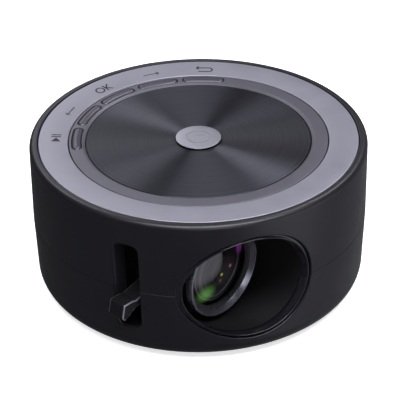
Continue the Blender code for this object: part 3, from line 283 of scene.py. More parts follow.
def wrap_faces(low_start, high_start, count):
    """Faces between two closed rows of points, from the index where each row starts."""
    faces = []
    for index in range(count):
        after = (index + 1) % count
        faces.append((low_start + index, low_start + after, high_start + after, high_start + index))
    return faces


def loft(name, rings, finish=None, closed=True, capped=False):
    """A skin through rings that have the same count of points. Closed joins the last to the first."""
    count = len(rings[0])
    verts = [point for ring in rings for point in ring]
    pairs = list(zip(range(len(rings) - 1), range(1, len(rings))))
    if closed:
        pairs.append((len(rings) - 1, 0))
    faces = []
    for a, b in pairs:
        faces += wrap_faces(a * count, b * count, count)
    if capped:
        faces.append(tuple(range(count)))
        faces.append(tuple(range((len(rings) - 1) * count, len(rings) * count)))
    return make_object(name, verts, faces, finish)


def turned(name, outline, facets, finish=None, place=Matrix.Identity(4), closed=True):
    """An outline of (radius, z) turned round the Z axis of its place."""
    rings = []
    for radius, z in outline:
        angles = [TURN * step / facets for step in range(facets)]
        rings.append([place @ Vector((radius * math.cos(a), radius * math.sin(a), z)) for a in angles])
    return loft(name, rings, finish, closed)


def prism(name, outline, bottom, top, finish=None, place=Matrix.Identity(4)):
    """An outline in XY raised from bottom to top."""
    rings = [[place @ Vector((x, y, z)) for x, y in outline] for z in (bottom, top)]
    return loft(name, rings, finish, closed=False, capped=True)


def cut(piece, *cutters):
    """Cut bodies out of a piece and remove them."""
    for cutter in cutters:
        step = piece.modifiers.new("Cut", "BOOLEAN")
        step.operation = "DIFFERENCE"
        step.solver = "EXACT"
        step.object = cutter
        apply_modifiers(piece)
        bpy.data.objects.remove(cutter)
    smooth(piece.data)
    return piece


def apply_modifiers(piece):
    """Replace a piece's mesh with what its modifiers make of it."""
    bpy.context.view_layer.update()
    evaluated = piece.evaluated_get(bpy.context.evaluated_depsgraph_get())
    final = bpy.data.meshes.new_from_object(evaluated)
    piece.modifiers.clear()
    old_mesh = piece.data
    piece.data = final
    bpy.data.meshes.remove(old_mesh)


def bevelled(piece, width, edge_highlight_finish):
    """Round the sharp edges of a piece, with a finish of their own: a lighter one that paints highlights
    along the edges, on top of the light the rounded edges catch.
    """
    piece.data.materials.append(edge_highlight_finish)
    step = piece.modifiers.new("Bevel", "BEVEL")
    step.material = len(piece.data.materials) - 1
    step.width = width
    step.segments = BEVEL_SEGMENTS
    step.limit_method = "ANGLE"
    step.angle_limit = SMOOTH_ANGLE
    apply_modifiers(piece)
    smooth(piece.data, BEVEL_SMOOTH_ANGLE)
    return piece


def put(piece, body, slot, *nodes):
    """Fix a piece to a body and hide the CAD nodes it stands for. The slot is not used."""
    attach(piece, body)
    if nodes:
        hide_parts(*nodes)
    return piece


# --- Materials -------------------------------------------------------------------------------
NOISE_LOW, NOISE_HIGH = 0.3, 0.7  # nearly all of a noise's values lie between these
MOTTLE = 0.06
GLOSS_SWING = 0.08
PATCH = 9.0 * MM
TURNING_LINE = 0.55 * MM
TRACK_SIZE = 6.0 * MM
GLASS_IOR = 1.52
COATED_IOR = 1.9
TURNED_DARK = (0.042, 0.042, 0.051)
TURNED_LIGHT = (0.068, 0.068, 0.082)


class Nodes:
    """Short way to lay out the nodes of a material or of the world."""

    def __init__(self, name, owners=bpy.data.materials, shader="Principled BSDF", coordinates="Object"):
        self.owner = owners.new(name)
        self.owner.use_nodes = True
        self.tree = self.owner.node_tree
        self.shader = self.tree.nodes[shader]
        self.coordinates = self.tree.nodes.new("ShaderNodeTexCoord").outputs[coordinates]

    def add(self, kind, links=None, **settings):
        """A node with its settings, and links from sockets into its inputs."""
        node = self.tree.nodes.new(kind)
        for key, value in settings.items():
            setattr(node, key, value)
        for key, source in (links or {}).items():
            self.tree.links.new(source, node.inputs[key])
        return node

    def step(self, kind, operation, first, second):
        """One operation on a socket and a second socket or plain value."""
        node = self.add(kind, {0: first}, operation=operation)
        if isinstance(second, bpy.types.NodeSocket):
            self.tree.links.new(second, node.inputs[1])
        else:
            node.inputs[1].default_value = second
        return node.outputs[0]

    def length(self, vector):
        """Length of a vector."""
        return self.add("ShaderNodeVectorMath", {0: vector}, operation="LENGTH").outputs["Value"]

    def noise(self, size, detail=3.0):
        """Noise whose features are about size metres across."""
        node = self.add("ShaderNodeTexNoise", {"Vector": self.coordinates})
        node.inputs["Scale"].default_value = 1.0 / size
        node.inputs["Detail"].default_value = detail
        return node.outputs["Fac"]

    def ramp(self, value, start, end, first, last, kind="SMOOTHSTEP"):
        """Map a value from between start and end to between first and last."""
        node = self.add("ShaderNodeMapRange", {"Value": value}, interpolation_type=kind)
        limits = {"From Min": start, "From Max": end, "To Min": first, "To Max": last}
        for key, limit in limits.items():
            node.inputs[key].default_value = limit
        return node.outputs["Result"]

    def spread(self, value, bottom, top):
        """Map a noise's usual span to two limits."""
        return self.ramp(value, NOISE_LOW, NOISE_HIGH, bottom, top, "LINEAR")

    def shade(self, value, dark, light):
        """A colour between two, by a value from 0 to 1."""
        node = self.add("ShaderNodeValToRGB", {"Fac": value})
        node.color_ramp.elements[0].color = (*dark, 1.0)
        node.color_ramp.elements[1].color = (*light, 1.0)
        return node.outputs["Color"]

    def bump(self, height, distance, strength=1.0):
        """A normal roughened by a height of 0 to 1 times a distance."""
        node = self.add("ShaderNodeBump", {"Height": height})
        node.inputs["Distance"].default_value = distance
        node.inputs["Strength"].default_value = strength
        return node.outputs["Normal"]

    def into(self, socket, source):
        """Link a source into the shader."""
        self.tree.links.new(source, self.shader.inputs[socket])

    def set(self, **values):
        """Set plain values of the shader, with _ for each space in a socket's name."""
        for key, value in values.items():
            self.shader.inputs[key.replace("_", " ")].default_value = value


def scaled(color, share):
    """A colour made darker or lighter."""
    return tuple(part * share for part in color)


def surface(name, color, roughness, metallic=0.0, specular=0.5, grain=0.25 * MM, relief=0.004 * MM):
    """A plain worked surface: fine grain, and slow changes of shade and gloss."""
    nodes = Nodes(name)
    slow = nodes.noise(PATCH)
    nodes.into("Base Color", nodes.shade(slow, scaled(color, 1 - MOTTLE), scaled(color, 1 + MOTTLE)))
    swing = roughness * GLOSS_SWING
    nodes.into("Roughness", nodes.spread(slow, roughness - swing, roughness + swing))
    nodes.into("Normal", nodes.bump(nodes.noise(grain, 2.0), relief))
    nodes.set(Metallic=metallic, Specular_IOR_Level=specular)
    return nodes.owner


def turned_metal(name):
    """Dark metal with concentric turning lines."""
    nodes = Nodes(name)
    flat = nodes.step("ShaderNodeVectorMath", "MULTIPLY", nodes.coordinates, (1.0, 1.0, 0.0))
    reach = nodes.length(flat)
    lines = nodes.add("ShaderNodeTexNoise", {"W": reach}, noise_dimensions="1D")
    lines.inputs["Scale"].default_value = 1.0 / TURNING_LINE
    lines.inputs["Detail"].default_value = 4.0
    value = lines.outputs["Fac"]
    nodes.into("Base Color", nodes.shade(nodes.spread(value, 0.0, 1.0), TURNED_DARK, TURNED_LIGHT))
    nodes.into("Roughness", nodes.spread(value, 0.34, 0.44))
    nodes.into("Normal", nodes.bump(value, 0.02 * MM, 0.5))
    tangent = nodes.add("ShaderNodeTangent", direction_type="RADIAL", axis="Z")
    nodes.into("Tangent", tangent.outputs["Tangent"])
    nodes.set(Metallic=1.0, Anisotropic=0.95, Anisotropic_Rotation=0.25)
    return nodes.owner


def clear_glass(name):
    """Clear glass with a faint film on it."""
    nodes = Nodes(name)
    film = nodes.noise(3.0 * MM)
    nodes.into("Base Color", nodes.shade(film, (0.90, 0.94, 0.93), (0.97, 0.98, 0.98)))
    nodes.into("Roughness", nodes.spread(film, 0.0, 0.015))
    nodes.set(Transmission_Weight=1.0, IOR=GLASS_IOR)
    return nodes.owner


def coated(name, color, tint):
    """A dark glass face that reflects with the colour of its coating."""
    nodes = Nodes(name)
    film = nodes.noise(2.5 * MM)
    nodes.into("Base Color", nodes.shade(film, scaled(color, 0.7), color))
    nodes.into("Roughness", nodes.spread(film, 0.05, 0.12))
    nodes.set(IOR=COATED_IOR, Specular_Tint=(*tint, 1.0))
    return nodes.owner


PAINTED_RIM_HIGHLIGHTS = (
    (11.7 * MM, 0.45 * MM, 0.045),
    (10.0 * MM, 1.60 * MM, 0.030),
    (8.2 * MM, 0.35 * MM, 0.022),
    (5.1 * MM, 0.30 * MM, 0.016),
    (3.1 * MM, 0.25 * MM, 0.010),
)  # radius, half width and brightness of each painted rim highlight
# the painted rim highlights are full on the left and fade out between these two offsets
RIM_SHINE_START = -12.0 * MM
RIM_SHINE_END = 9.0 * MM
PAINTED_COATING_REFLECTIONS = (
    ((-7.1 * MM, -6.8 * MM), 5.0 * MM, (0.060, 0.170, 0.030)),
    ((1.5 * MM, -1.0 * MM), 10.0 * MM, (0.012, 0.010, 0.011)),
    ((10.8 * MM, 4.6 * MM), 4.0 * MM, (0.090, 0.012, 0.110)),
    ((3.8 * MM, 0.5 * MM), 1.0 * MM, (0.300, 0.080, 0.140)),
    ((-0.8 * MM, -0.9 * MM), 0.9 * MM, (0.300, 0.320, 0.060)),
    ((-1.3 * MM, -3.3 * MM), 1.2 * MM, (0.060, 0.040, 0.012)),
)  # place beside the lens axis, reach and colour of each painted coating reflection


def lens_painted_glints(name):
    """A dark front glass whose emission paints light on it: highlights on the rims of the elements behind
    it, brightest on the left, and the coloured reflections of their coatings.
    """
    nodes = Nodes(name)
    nodes.into("Roughness", nodes.spread(nodes.noise(2.5 * MM), 0.02, 0.05))
    nodes.set(Base_Color=(0.0015, 0.0015, 0.0020, 1.0), IOR=GLASS_IOR)

    def distance_from(x, z):
        """Distance from a line along the lens axis, x and z beside it."""
        centre = (LENS_X + x, 0.0, LENS_Z + z)
        shifted = nodes.step("ShaderNodeVectorMath", "SUBTRACT", nodes.coordinates, centre)
        return nodes.length(nodes.step("ShaderNodeVectorMath", "MULTIPLY", shifted, (1.0, 0.0, 1.0)))

    def tinted(value, color):
        """A colour as bright as a value."""
        tint = nodes.add("ShaderNodeVectorMath", {"Scale": value}, operation="SCALE")
        tint.inputs[0].default_value = color
        return tint.outputs[0]

    across = nodes.add("ShaderNodeSeparateXYZ", {"Vector": nodes.coordinates}).outputs["X"]
    # painted side light: the rim highlights fade from the left to the right
    left = nodes.ramp(across, LENS_X + RIM_SHINE_START, LENS_X + RIM_SHINE_END, 1.0, 0.0)
    layers = []
    for radius, width, level in PAINTED_RIM_HIGHLIGHTS:
        away = nodes.step("ShaderNodeMath", "SUBTRACT", distance_from(0.0, 0.0), radius)
        away = nodes.add("ShaderNodeMath", {0: away}, operation="ABSOLUTE").outputs[0]
        shine = nodes.step("ShaderNodeMath", "MULTIPLY", nodes.ramp(away, 0.0, width, 1.0, 0.0), left)
        layers.append(tinted(shine, (level, level, level * 1.1)))
    for (x, z), reach, color in PAINTED_COATING_REFLECTIONS:
        layers.append(tinted(nodes.ramp(distance_from(x, z), 0.0, reach, 1.0, 0.0), color))
    total = layers[0]
    for layer in layers[1:]:
        total = nodes.step("ShaderNodeVectorMath", "ADD", total, layer)
    # all the painted highlights and reflections glow as emission
    nodes.into("Emission Color", total)
    nodes.set(Emission_Strength=1.0)
    return nodes.owner


def board_finish(name):
    """A green circuit board with copper tracks under its lacquer."""
    nodes = Nodes(name)
    tracks = nodes.add("ShaderNodeTexBrick", {"Vector": nodes.coordinates})
    tracks.inputs["Scale"].default_value = 1.0 / TRACK_SIZE
    tracks.inputs["Mortar Size"].default_value = 0.04
    tracks.inputs["Color1"].default_value = (0.008, 0.060, 0.026, 1.0)
    tracks.inputs["Color2"].default_value = (0.010, 0.075, 0.032, 1.0)
    tracks.inputs["Mortar"].default_value = (0.030, 0.140, 0.055, 1.0)
    nodes.into("Base Color", tracks.outputs["Color"])
    nodes.into("Roughness", nodes.spread(nodes.noise(2.0 * MM), 0.30, 0.42))
    nodes.into("Normal", nodes.bump(tracks.outputs["Fac"], 0.02 * MM))
    return nodes.owner


CASE = surface("case_plastic", (0.0040, 0.0040, 0.0060), 0.40, specular=0.42, relief=0.006 * MM)
TOP_RING = surface(
    "top_ring_metal", (0.245, 0.24, 0.278), 0.42, metallic=0.6, grain=0.18 * MM, relief=0.006 * MM
)
KEY_RING = surface("key_ring_plastic", (0.080, 0.078, 0.094), 0.42, metallic=0.4)
KEYS = surface("key_plastic", (0.050, 0.048, 0.060), 0.34, metallic=0.3, grain=0.4 * MM)
DIAL = turned_metal("dial_metal")
BADGE = surface("badge_metal", (0.34, 0.34, 0.38), 0.36, metallic=0.8, grain=0.15 * MM)
PRINT = surface("icon_print", (0.012, 0.012, 0.016), 0.55, specular=0.3)
GLOSS = surface("gloss_black", (0.006, 0.006, 0.008), 0.14, relief=0.001 * MM)
MATT = surface("matt_black", (0.0035, 0.0035, 0.0040), 0.62, specular=0.18)
INNER = surface("inner_black_plastic", (0.006, 0.006, 0.007), 0.50, specular=0.3)
# lighter metallic grey for the lever's bevels: a painted edge highlight, beyond what the bevels catch
LEVER_EDGE_HIGHLIGHT = surface("lever_edge_painted_highlight", (0.20, 0.20, 0.23), 0.32, metallic=0.7)
NOSE = surface("nose_metal", (0.16, 0.16, 0.185), 0.26, metallic=0.9, grain=0.12 * MM)
RETAINER = surface("retainer_metal", (0.030, 0.030, 0.034), 0.28, metallic=0.5)
GREEN_FACE = coated("green_coating", (0.001, 0.002, 0.001), (0.25, 1.0, 0.35))
LENS_GLINT_PAINT = lens_painted_glints("lens_painted_glints")
ALUMINIUM = surface("aluminium", (0.58, 0.58, 0.60), 0.36, metallic=1.0, grain=0.1 * MM)
STEEL = surface("steel", (0.46, 0.46, 0.48), 0.28, metallic=1.0, grain=0.1 * MM)
RUBBER = surface("foot_rubber", (0.014, 0.014, 0.014), 0.82, specular=0.2, grain=0.5 * MM)
BOARD = board_finish("circuit_board")
LCD = surface("lcd_glass", (0.012, 0.016, 0.028), 0.10, relief=0.0005 * MM)
PHOSPHOR = surface("led_phosphor", (0.80, 0.66, 0.14), 0.45)
PAPER = surface("speaker_paper", (0.05, 0.05, 0.048), 0.88, grain=0.6 * MM, relief=0.03 * MM)
SHEET_GLASS = clear_glass("sheet_glass")


# --- Case ------------------------------------------------------------------------------------
def case_radius(z):
    """Radius of the case's wall at a height, with its taper and its rounded base."""
    if z >= SEAM:
        return CASE_RADIUS
    base_radius = CASE_RADIUS - BASE_TAPER
    round_top = BASE_LEVEL + BASE_ROUND
    if z >= round_top:
        return base_radius + BASE_TAPER * (z - round_top) / (SEAM - round_top)
    sunk = round_top - z
    return base_radius - BASE_ROUND + math.sqrt(max(BASE_ROUND**2 - sunk**2, 0.0))


LENS_FRAME = Matrix.Translation((LENS_X, 0.0, LENS_Z)) @ Matrix.Rotation(math.pi / 2, 4, "X")
SLOT_Y = (low("focus_ring").y + high("focus_ring").y) / 2
BEYOND = CASE_RADIUS * 1.2


def lens_skin(x, z, depth):
    """Point of the front wall over (x, z), sunk by a depth along the lens axis."""
    return Vector((x, depth - math.sqrt(case_radius(z) ** 2 - x**2), z))


def slot_skin(y, z, depth):
    """Point of the left wall over (y, z), sunk by a depth."""
    return Vector((depth - math.sqrt(case_radius(z) ** 2 - y**2), y, z))


def lens_circle(radius):
    """Points of (x, z) on a circle about the lens axis."""
    angles = [TURN * step / LENS_FACETS for step in range(LENS_FACETS)]
    return [(LENS_X + radius * math.cos(a), LENS_Z + radius * math.sin(a)) for a in angles]


def skin_ring(radius, depth):
    """Ring about the lens axis on the front wall, sunk by a depth."""
    return [lens_skin(x, z, depth) for x, z in lens_circle(radius)]


def flat_ring(radius, forward):
    """Ring about the lens axis, in a plane forward of the case's middle."""
    return [Vector((x, -forward, z)) for x, z in lens_circle(radius)]


def slot_outline(grow):
    """Points of (y, z) on the slot's outline, grown by a distance."""
    outline = round_rectangle(SLOT_WIDTH / 2 + grow, SLOT_HALF_HEIGHT + grow, SLOT_ROUND + grow)
    return [(SLOT_Y + y, LENS_Z + z) for y, z in outline]


def edge_section(edge, depth):
    """Section of a rounded cut edge, as (outward offset, depth)."""
    section = []
    for step in range(ROUND_STEPS + 2):
        angle = math.pi / 2 * step / (ROUND_STEPS + 1)
        section.append((edge * (1 - math.sin(angle)), edge * (1 - math.cos(angle))))
    return section + [(0.0, depth), (edge + 0.3 * MM, depth), (edge + 0.3 * MM, 0.4 * MM)]


def split_at_seam(piece):
    """Carry the seam between the halves across a piece."""
    slab = prism("seam", square(BEYOND), SEAM - SEAM_GAP / 2, SEAM + SEAM_GAP / 2)
    return cut(piece, slab)


def round_place(node):
    """Centre and radius of an upright round CAD node."""
    return (high(node) + low(node)) / 2, (high(node).x - low(node).x) / 2


def opening_cutters():
    """Bodies that cut the lens opening and the lever's slot, as wide as their rounded edges."""
    opening = turned("opening", [(0.0, TUNNEL_BACK), (OPENING_RADIUS + OPENING_EDGE, TUNNEL_BACK),
                                 (OPENING_RADIUS + OPENING_EDGE, BEYOND), (0.0, BEYOND)],
                     LENS_FACETS, place=LENS_FRAME, closed=False)
    inner_x = -math.sqrt(CASE_RADIUS**2 - SLOT_Y**2) + SLOT_CUT_DEPTH
    sideways = Matrix.Rotation(math.pi / 2, 4, "Z") @ Matrix.Rotation(math.pi / 2, 4, "X")
    slot = prism("slot", slot_outline(SLOT_EDGE), -BEYOND, inner_x, place=sideways)
    return [opening, slot]


def vent_cutters(bottom, top):
    """Upright slots with round ends through the side wall."""
    cutters = []
    for index in range(SIDE_VENT_COUNT):
        turn = SIDE_VENT_MIDDLE + (index - (SIDE_VENT_COUNT - 1) / 2) * SIDE_VENT_PITCH
        half = SIDE_VENT_WIDTH / 2
        outline = round_rectangle(half, (top - bottom) / 2, half * 0.98, (0.0, (top + bottom) / 2))
        outward = Matrix.Rotation(turn + math.pi / 2, 4, "Z") @ Matrix.Rotation(math.pi / 2, 4, "X")
        cutters.append(prism("vent", outline, CASE_RADIUS - 6.0 * MM, BEYOND, place=outward))
    return cutters


def make_upper_shell():
    """The upper half of the case, with a round shoulder and a soft rim."""
    wall_in = CASE_RADIUS - WALL
    rim_in = CASE_RADIUS - RIM_WIDTH
    seam = SEAM + SEAM_GAP / 2
    corners = [
        (CASE_RADIUS, seam, SEAM_EDGE), (CASE_RADIUS, RIM_TOP, SHOULDER_ROUND),
        (rim_in, RIM_TOP, 0.3 * MM), (rim_in, DECK_TOP, 0.0), (0.0, DECK_TOP, 0.0),
        (0.0, DECK_TOP - DECK, 0.0), (wall_in, DECK_TOP - DECK, 0.0), (wall_in, seam, 0.0),
    ]
    shell = turned("upper_shell_skin", rounded(corners, 8), CASE_FACETS, CASE)
    cut(shell, *opening_cutters())
    cut(shell, *vent_cutters(*SIDE_VENT_ROWS[1]))
    put(shell, "case", "case_plastic", "upper_shell")


def make_lower_shell():
    """The lower half of the case, tapered and rounded to its base, with its holes."""
    base = CASE_RADIUS - BASE_TAPER
    seam = SEAM - SEAM_GAP / 2
    corners = [
        (0.0, BASE_LEVEL, 0.0), (base, BASE_LEVEL, BASE_ROUND), (CASE_RADIUS, seam, SEAM_EDGE),
        (CASE_RADIUS - WALL, seam, 0.0), (base - WALL, BASE_LEVEL + FLOOR, BASE_ROUND - WALL),
        (0.0, BASE_LEVEL + FLOOR, 0.0),
    ]
    shell = turned("lower_shell_skin", rounded(corners, 12), CASE_FACETS, CASE)
    cut(shell, *opening_cutters())
    cut(shell, *vent_cutters(*SIDE_VENT_ROWS[0]))
    port_frame = Matrix.Rotation(PORT_AZIMUTH - math.pi / 2, 4, "Z")
    recess_back = math.sqrt((CASE_RADIUS - WALL - BASE_TAPER) ** 2 - PORT_HALF_WIDTH**2) - MM
    middle = (PORT_HIGH + PORT_LOW) / 2
    outline = round_rectangle(PORT_HALF_WIDTH, (PORT_HIGH - PORT_LOW) / 2, 0.8 * MM, (0.0, middle))
    upright = port_frame @ Matrix.Rotation(math.pi / 2, 4, "X")
    cut(shell, prism("port", outline, -BEYOND, -recess_back, place=upright))
    wells = [(foot, high(foot).z + GAP) for foot in FEET]
    wells += [(screw, BASE_LEVEL + SCREW_WELL) for screw in SCREWS]
    for node, top in wells:
        centre, radius = round_place(node)
        cut(shell, prism("well", circle(centre, radius + GAP), -MM, top))
    for (x, y), count, pitch, (length, width) in FLOOR_SLOTS:
        for index in range(count):
            place = (x, y + (index - (count - 1) / 2) * pitch)
            outline = round_rectangle(length / 2, width / 2, width / 2 * 0.98, place)
            cut(shell, prism("slot", outline, -MM, BASE_LEVEL + FLOOR + MM))
    put(shell, "case", "case_plastic", "lower_shell")


def make_cut_edges():
    """Rounded edges of the lens opening and of the slot, which run on into the wall."""
    section = edge_section(OPENING_EDGE, WALL + MM)
    rings = [skin_ring(OPENING_RADIUS + offset, depth) for offset, depth in section]
    put(split_at_seam(loft("opening_edge", rings, CASE)), "case", "case_plastic")
    rings = []
    for offset, depth in edge_section(SLOT_EDGE, SLOT_LINER_DEPTH):
        rings.append([slot_skin(y, z, depth) for y, z in slot_outline(offset)])
    put(split_at_seam(loft("slot_edge", rings, CASE)), "case", "case_plastic")


def make_feet_and_screws():
    """Rubber feet with a shallow dish, and cross-head screws."""
    for foot in FEET:
        centre, radius = round_place(foot)
        top = high(foot).z
        outline = rounded([(radius, 0.0, 0.45 * MM), (radius, top, 0.15 * MM), (0.0, top, 0.0),
                           (0.0, FOOT_DISH, 0.0), (radius * 0.7, 0.0, 0.6 * MM)])
        place = Matrix.Translation((centre.x, centre.y, 0.0))
        piece = turned(f"{foot}_pad", outline, 72, RUBBER, place)
        put(piece, "case", "foot_rubber", foot)
    for screw in SCREWS:
        centre, radius = round_place(screw)
        bottom = low(screw).z
        head = bottom + SCREW_HEAD
        tip = high(screw).z
        outline = rounded([(0.0, bottom, 0.0), (radius, bottom, 0.5 * MM), (radius, head, 0.0),
                           (SCREW_SHANK, head, 0.0), (SCREW_SHANK, tip, 0.4 * MM), (0.0, tip, 0.0)])
        place = Matrix.Translation((centre.x, centre.y, 0.0))
        piece = turned(f"{screw}_body", outline, SMALL_FACETS, STEEL, place, closed=False)
        for size in ((CROSS_ARM, CROSS_HALF_WIDTH), (CROSS_HALF_WIDTH, CROSS_ARM)):
            outline = round_rectangle(*size, 0.1 * MM, (centre.x, centre.y))
            cut(piece, prism("cross", outline, bottom - MM, bottom + CROSS_DEPTH))
        put(piece, "case", "screw_steel", screw)


# --- Top trim --------------------------------------------------------------------------------
TOP_RING_FALL = 0.45 * MM
TRIM_EDGE = 0.35 * MM
RING_TOP_OUT = high("top_ring").z
RING_TOP_IN = RING_TOP_OUT - TOP_RING_FALL
KEY_NODES = ["key_play", "key_left", "key_ok", "key_right", "key_back"]
KEY_CIRCLE = 44.0 * MM
KEY_HALF_ANGLE = math.radians(10.1)
KEY_HALF_WIDTH = 1.6 * MM
KEY_BEND = KEY_HALF_ANGLE - KEY_HALF_WIDTH / KEY_CIRCLE
KEY_TRAVEL = 0.4 * MM
KEY_CROWN = 1.0 * MM
CROWN_STEPS = 8
KEY_RING_SLOPE = 1.0 * MM
GROOVE_PITCH = 0.6 * MM
GROOVE_DEPTH = 0.010 * MM
BADGE_WELL = 0.5 * MM
BADGE_FACE = 0.2 * MM
MARK_DEPTH = 0.12 * MM
MARK_RING_OUT = 4.5 * MM
MARK_RING_IN = 4.0 * MM
MARK_REACH = 2.4 * MM


def ring_top(radius):
    """Height of the sloping top ring at a radius."""
    share = (radius - TOP_RING_IN) / (TOP_RING_OUT - TOP_RING_IN)
    return RING_TOP_IN + share * TOP_RING_FALL


def make_top_ring():
    """The satin ring with small rounded edges."""
    corners = [
        (TOP_RING_OUT, TRIM_BOTTOM, 0.0), (TOP_RING_OUT, RING_TOP_OUT, TRIM_EDGE),
        (TOP_RING_IN, RING_TOP_IN, TRIM_EDGE), (TOP_RING_IN, TRIM_BOTTOM, 0.0),
    ]
    put(turned("top_ring_face", rounded(corners), CASE_FACETS, TOP_RING), "case", "top_trim", "top_ring")


def make_key_ring():
    """The ring that the keys sit in: a round outer edge and a slope down to the dial."""
    corners = [
        (KEY_RING_OUT, TRIM_BOTTOM, 0.0), (KEY_RING_OUT, KEY_RING_TOP, 0.4 * MM),
        (KEY_RING_IN + KEY_RING_SLOPE, KEY_RING_TOP, 0.5 * MM), (KEY_RING_IN, DIAL_TOP, 0.15 * MM),
        (KEY_RING_IN, TRIM_BOTTOM, 0.0),
    ]
    ring = turned("key_ring_face", rounded(corners), CASE_FACETS, KEY_RING)
    for node in KEY_NODES:
        outline = bent_capsule(KEY_CIRCLE, KEY_HALF_WIDTH + GAP, KEY_BEND, 12, 10)
        place = Matrix.Rotation(azimuth_of(node), 4, "Z")
        cut(ring, prism("key_slot", outline, DECK_TOP, RIM_TOP + MM, place=place))
    put(ring, "case", "top_trim", "key_ring")


def make_keys():
    """Five bent keys with half-round tops."""
    skirt = DECK_TOP + KEY_TRAVEL + GAP
    shoulder = KEY_TOP - KEY_CROWN
    for node in KEY_NODES:
        place = Matrix.Rotation(azimuth_of(node), 4, "Z")
        rings = []
        levels = [(KEY_HALF_WIDTH, skirt)]
        for step in range(CROWN_STEPS + 1):
            angle = math.pi / 2 * step / CROWN_STEPS
            levels.append((KEY_HALF_WIDTH * math.cos(angle), shoulder + KEY_CROWN * math.sin(angle)))
        for half_width, z in levels:
            outline = bent_capsule(KEY_CIRCLE, max(half_width, 0.01 * MM), KEY_BEND, 16, 10)
            rings.append([place @ Vector((x, y, z)) for x, y in outline])
        key = loft(f"{node}_cap", rings, KEYS, closed=False, capped=True)
        put(key, f"{node}_body", "key_plastic", node)


def make_dial():
    """The turned plate: concentric grooves from the badge's well to its edge."""
    well = BADGE_RADIUS + GAP
    outline = [(0.0, DIAL_TOP - BADGE_WELL), (well, DIAL_TOP - BADGE_WELL), (well, DIAL_TOP - 0.1 * MM),
               (well + 0.1 * MM, DIAL_TOP)]
    start = well + 0.3 * MM
    count = int((DIAL_RADIUS - 0.4 * MM - start) / GROOVE_PITCH)
    for groove in range(count):
        for quarter in range(4):
            radius = start + (groove + quarter / 4) * GROOVE_PITCH
            outline.append((radius, DIAL_TOP - GROOVE_DEPTH * (1 - math.cos(quarter * math.pi / 2)) / 2))
    outline += [(DIAL_RADIUS - 0.15 * MM, DIAL_TOP), (DIAL_RADIUS, DIAL_TOP - 0.15 * MM)]
    outline += [(DIAL_RADIUS, TRIM_BOTTOM), (0.0, TRIM_BOTTOM)]
    plate = turned("dial_plate_face", outline, 192, DIAL, closed=False)
    put(plate, "case", "dial_metal", "dial_plate")


def make_badge():
    """The raised badge, with a sunk ring round a sunk triangle."""
    bottom = DIAL_TOP - BADGE_WELL + GAP
    face_low = BADGE_TOP - BADGE_FACE
    corners = [(0.0, face_low, 0.0), (BADGE_RADIUS, face_low, 0.0), (BADGE_RADIUS, BADGE_TOP, 0.12 * MM),
               (0.0, BADGE_TOP, 0.0)]
    badge = turned("centre_badge_face", rounded(corners), LENS_FACETS, BADGE, closed=False)
    core = BADGE_RADIUS - 0.1 * MM
    corners = [(0.0, bottom, 0.0), (core, bottom, 0.0), (core, face_low, 0.0), (0.0, face_low, 0.0)]
    put(turned("badge_side", rounded(corners), LENS_FACETS, MATT, closed=False), "case", "top_trim")
    sunk = BADGE_TOP - MARK_DEPTH
    above = BADGE_TOP + MM
    groove = turned("groove", [(MARK_RING_IN, sunk), (MARK_RING_OUT, sunk), (MARK_RING_OUT, above),
                               (MARK_RING_IN, above)], 96)
    facing = Matrix.Rotation(CAMERA_SIDE, 4, "Z")
    corner = 0.25 * MM
    triangle = rounded([(MARK_REACH, 0.0, corner), (-MARK_REACH * 0.6, MARK_REACH * 0.95, corner),
                        (-MARK_REACH * 0.6, -MARK_REACH * 0.95, corner)])
    cut(badge, groove)
    cut(badge, prism("triangle", triangle, sunk, above, place=facing))
    put(badge, "case", "top_trim", "centre_badge")


# --- Printed icons ---------------------------------------------------------------------------
ICON_CIRCLE = 51.4 * MM
ICON_HEIGHT = 4.4 * MM
PRINT_RISE = 0.015 * MM
STROKE = 0.62 * MM


def printed(name, strips, azimuth):
    """Ink strips of (across, outward) points, laid on the sloping ring at an azimuth."""
    verts = []
    faces = []
    for strip in strips:
        count = len(strip)
        base = len(verts)
        for level in (-PRINT_RISE, PRINT_RISE):
            faces.append(tuple(range(len(verts), len(verts) + count)))
            for across, outward in strip:
                radius = ICON_CIRCLE + outward
                angle = azimuth - across / radius
                verts.append((radius * math.cos(angle), radius * math.sin(angle), ring_top(radius) + level))
        faces += wrap_faces(base, base + count, count)
    mesh = bpy.data.meshes.new(name)
    mesh.from_pydata(verts, [], faces)
    mesh.materials.append(PRINT)
    put(new_object(name, mesh), "case", "top_trim")


def stroke(start, end, width=STROKE):
    """One straight strip of ink."""
    along = (Vector(end) - Vector(start)).normalized()
    side = Vector((-along.y, along.x)) * width / 2
    points = [Vector(start) - side, Vector(end) - side, Vector(end) + side, Vector(start) + side]
    return [[tuple(point) for point in points]]


def stroke_path(points, width=STROKE):
    """Strips along a line, one for each step of it."""
    strips = []
    for start, end in zip(points, points[1:]):
        strips += stroke(start, end, width)
    return strips


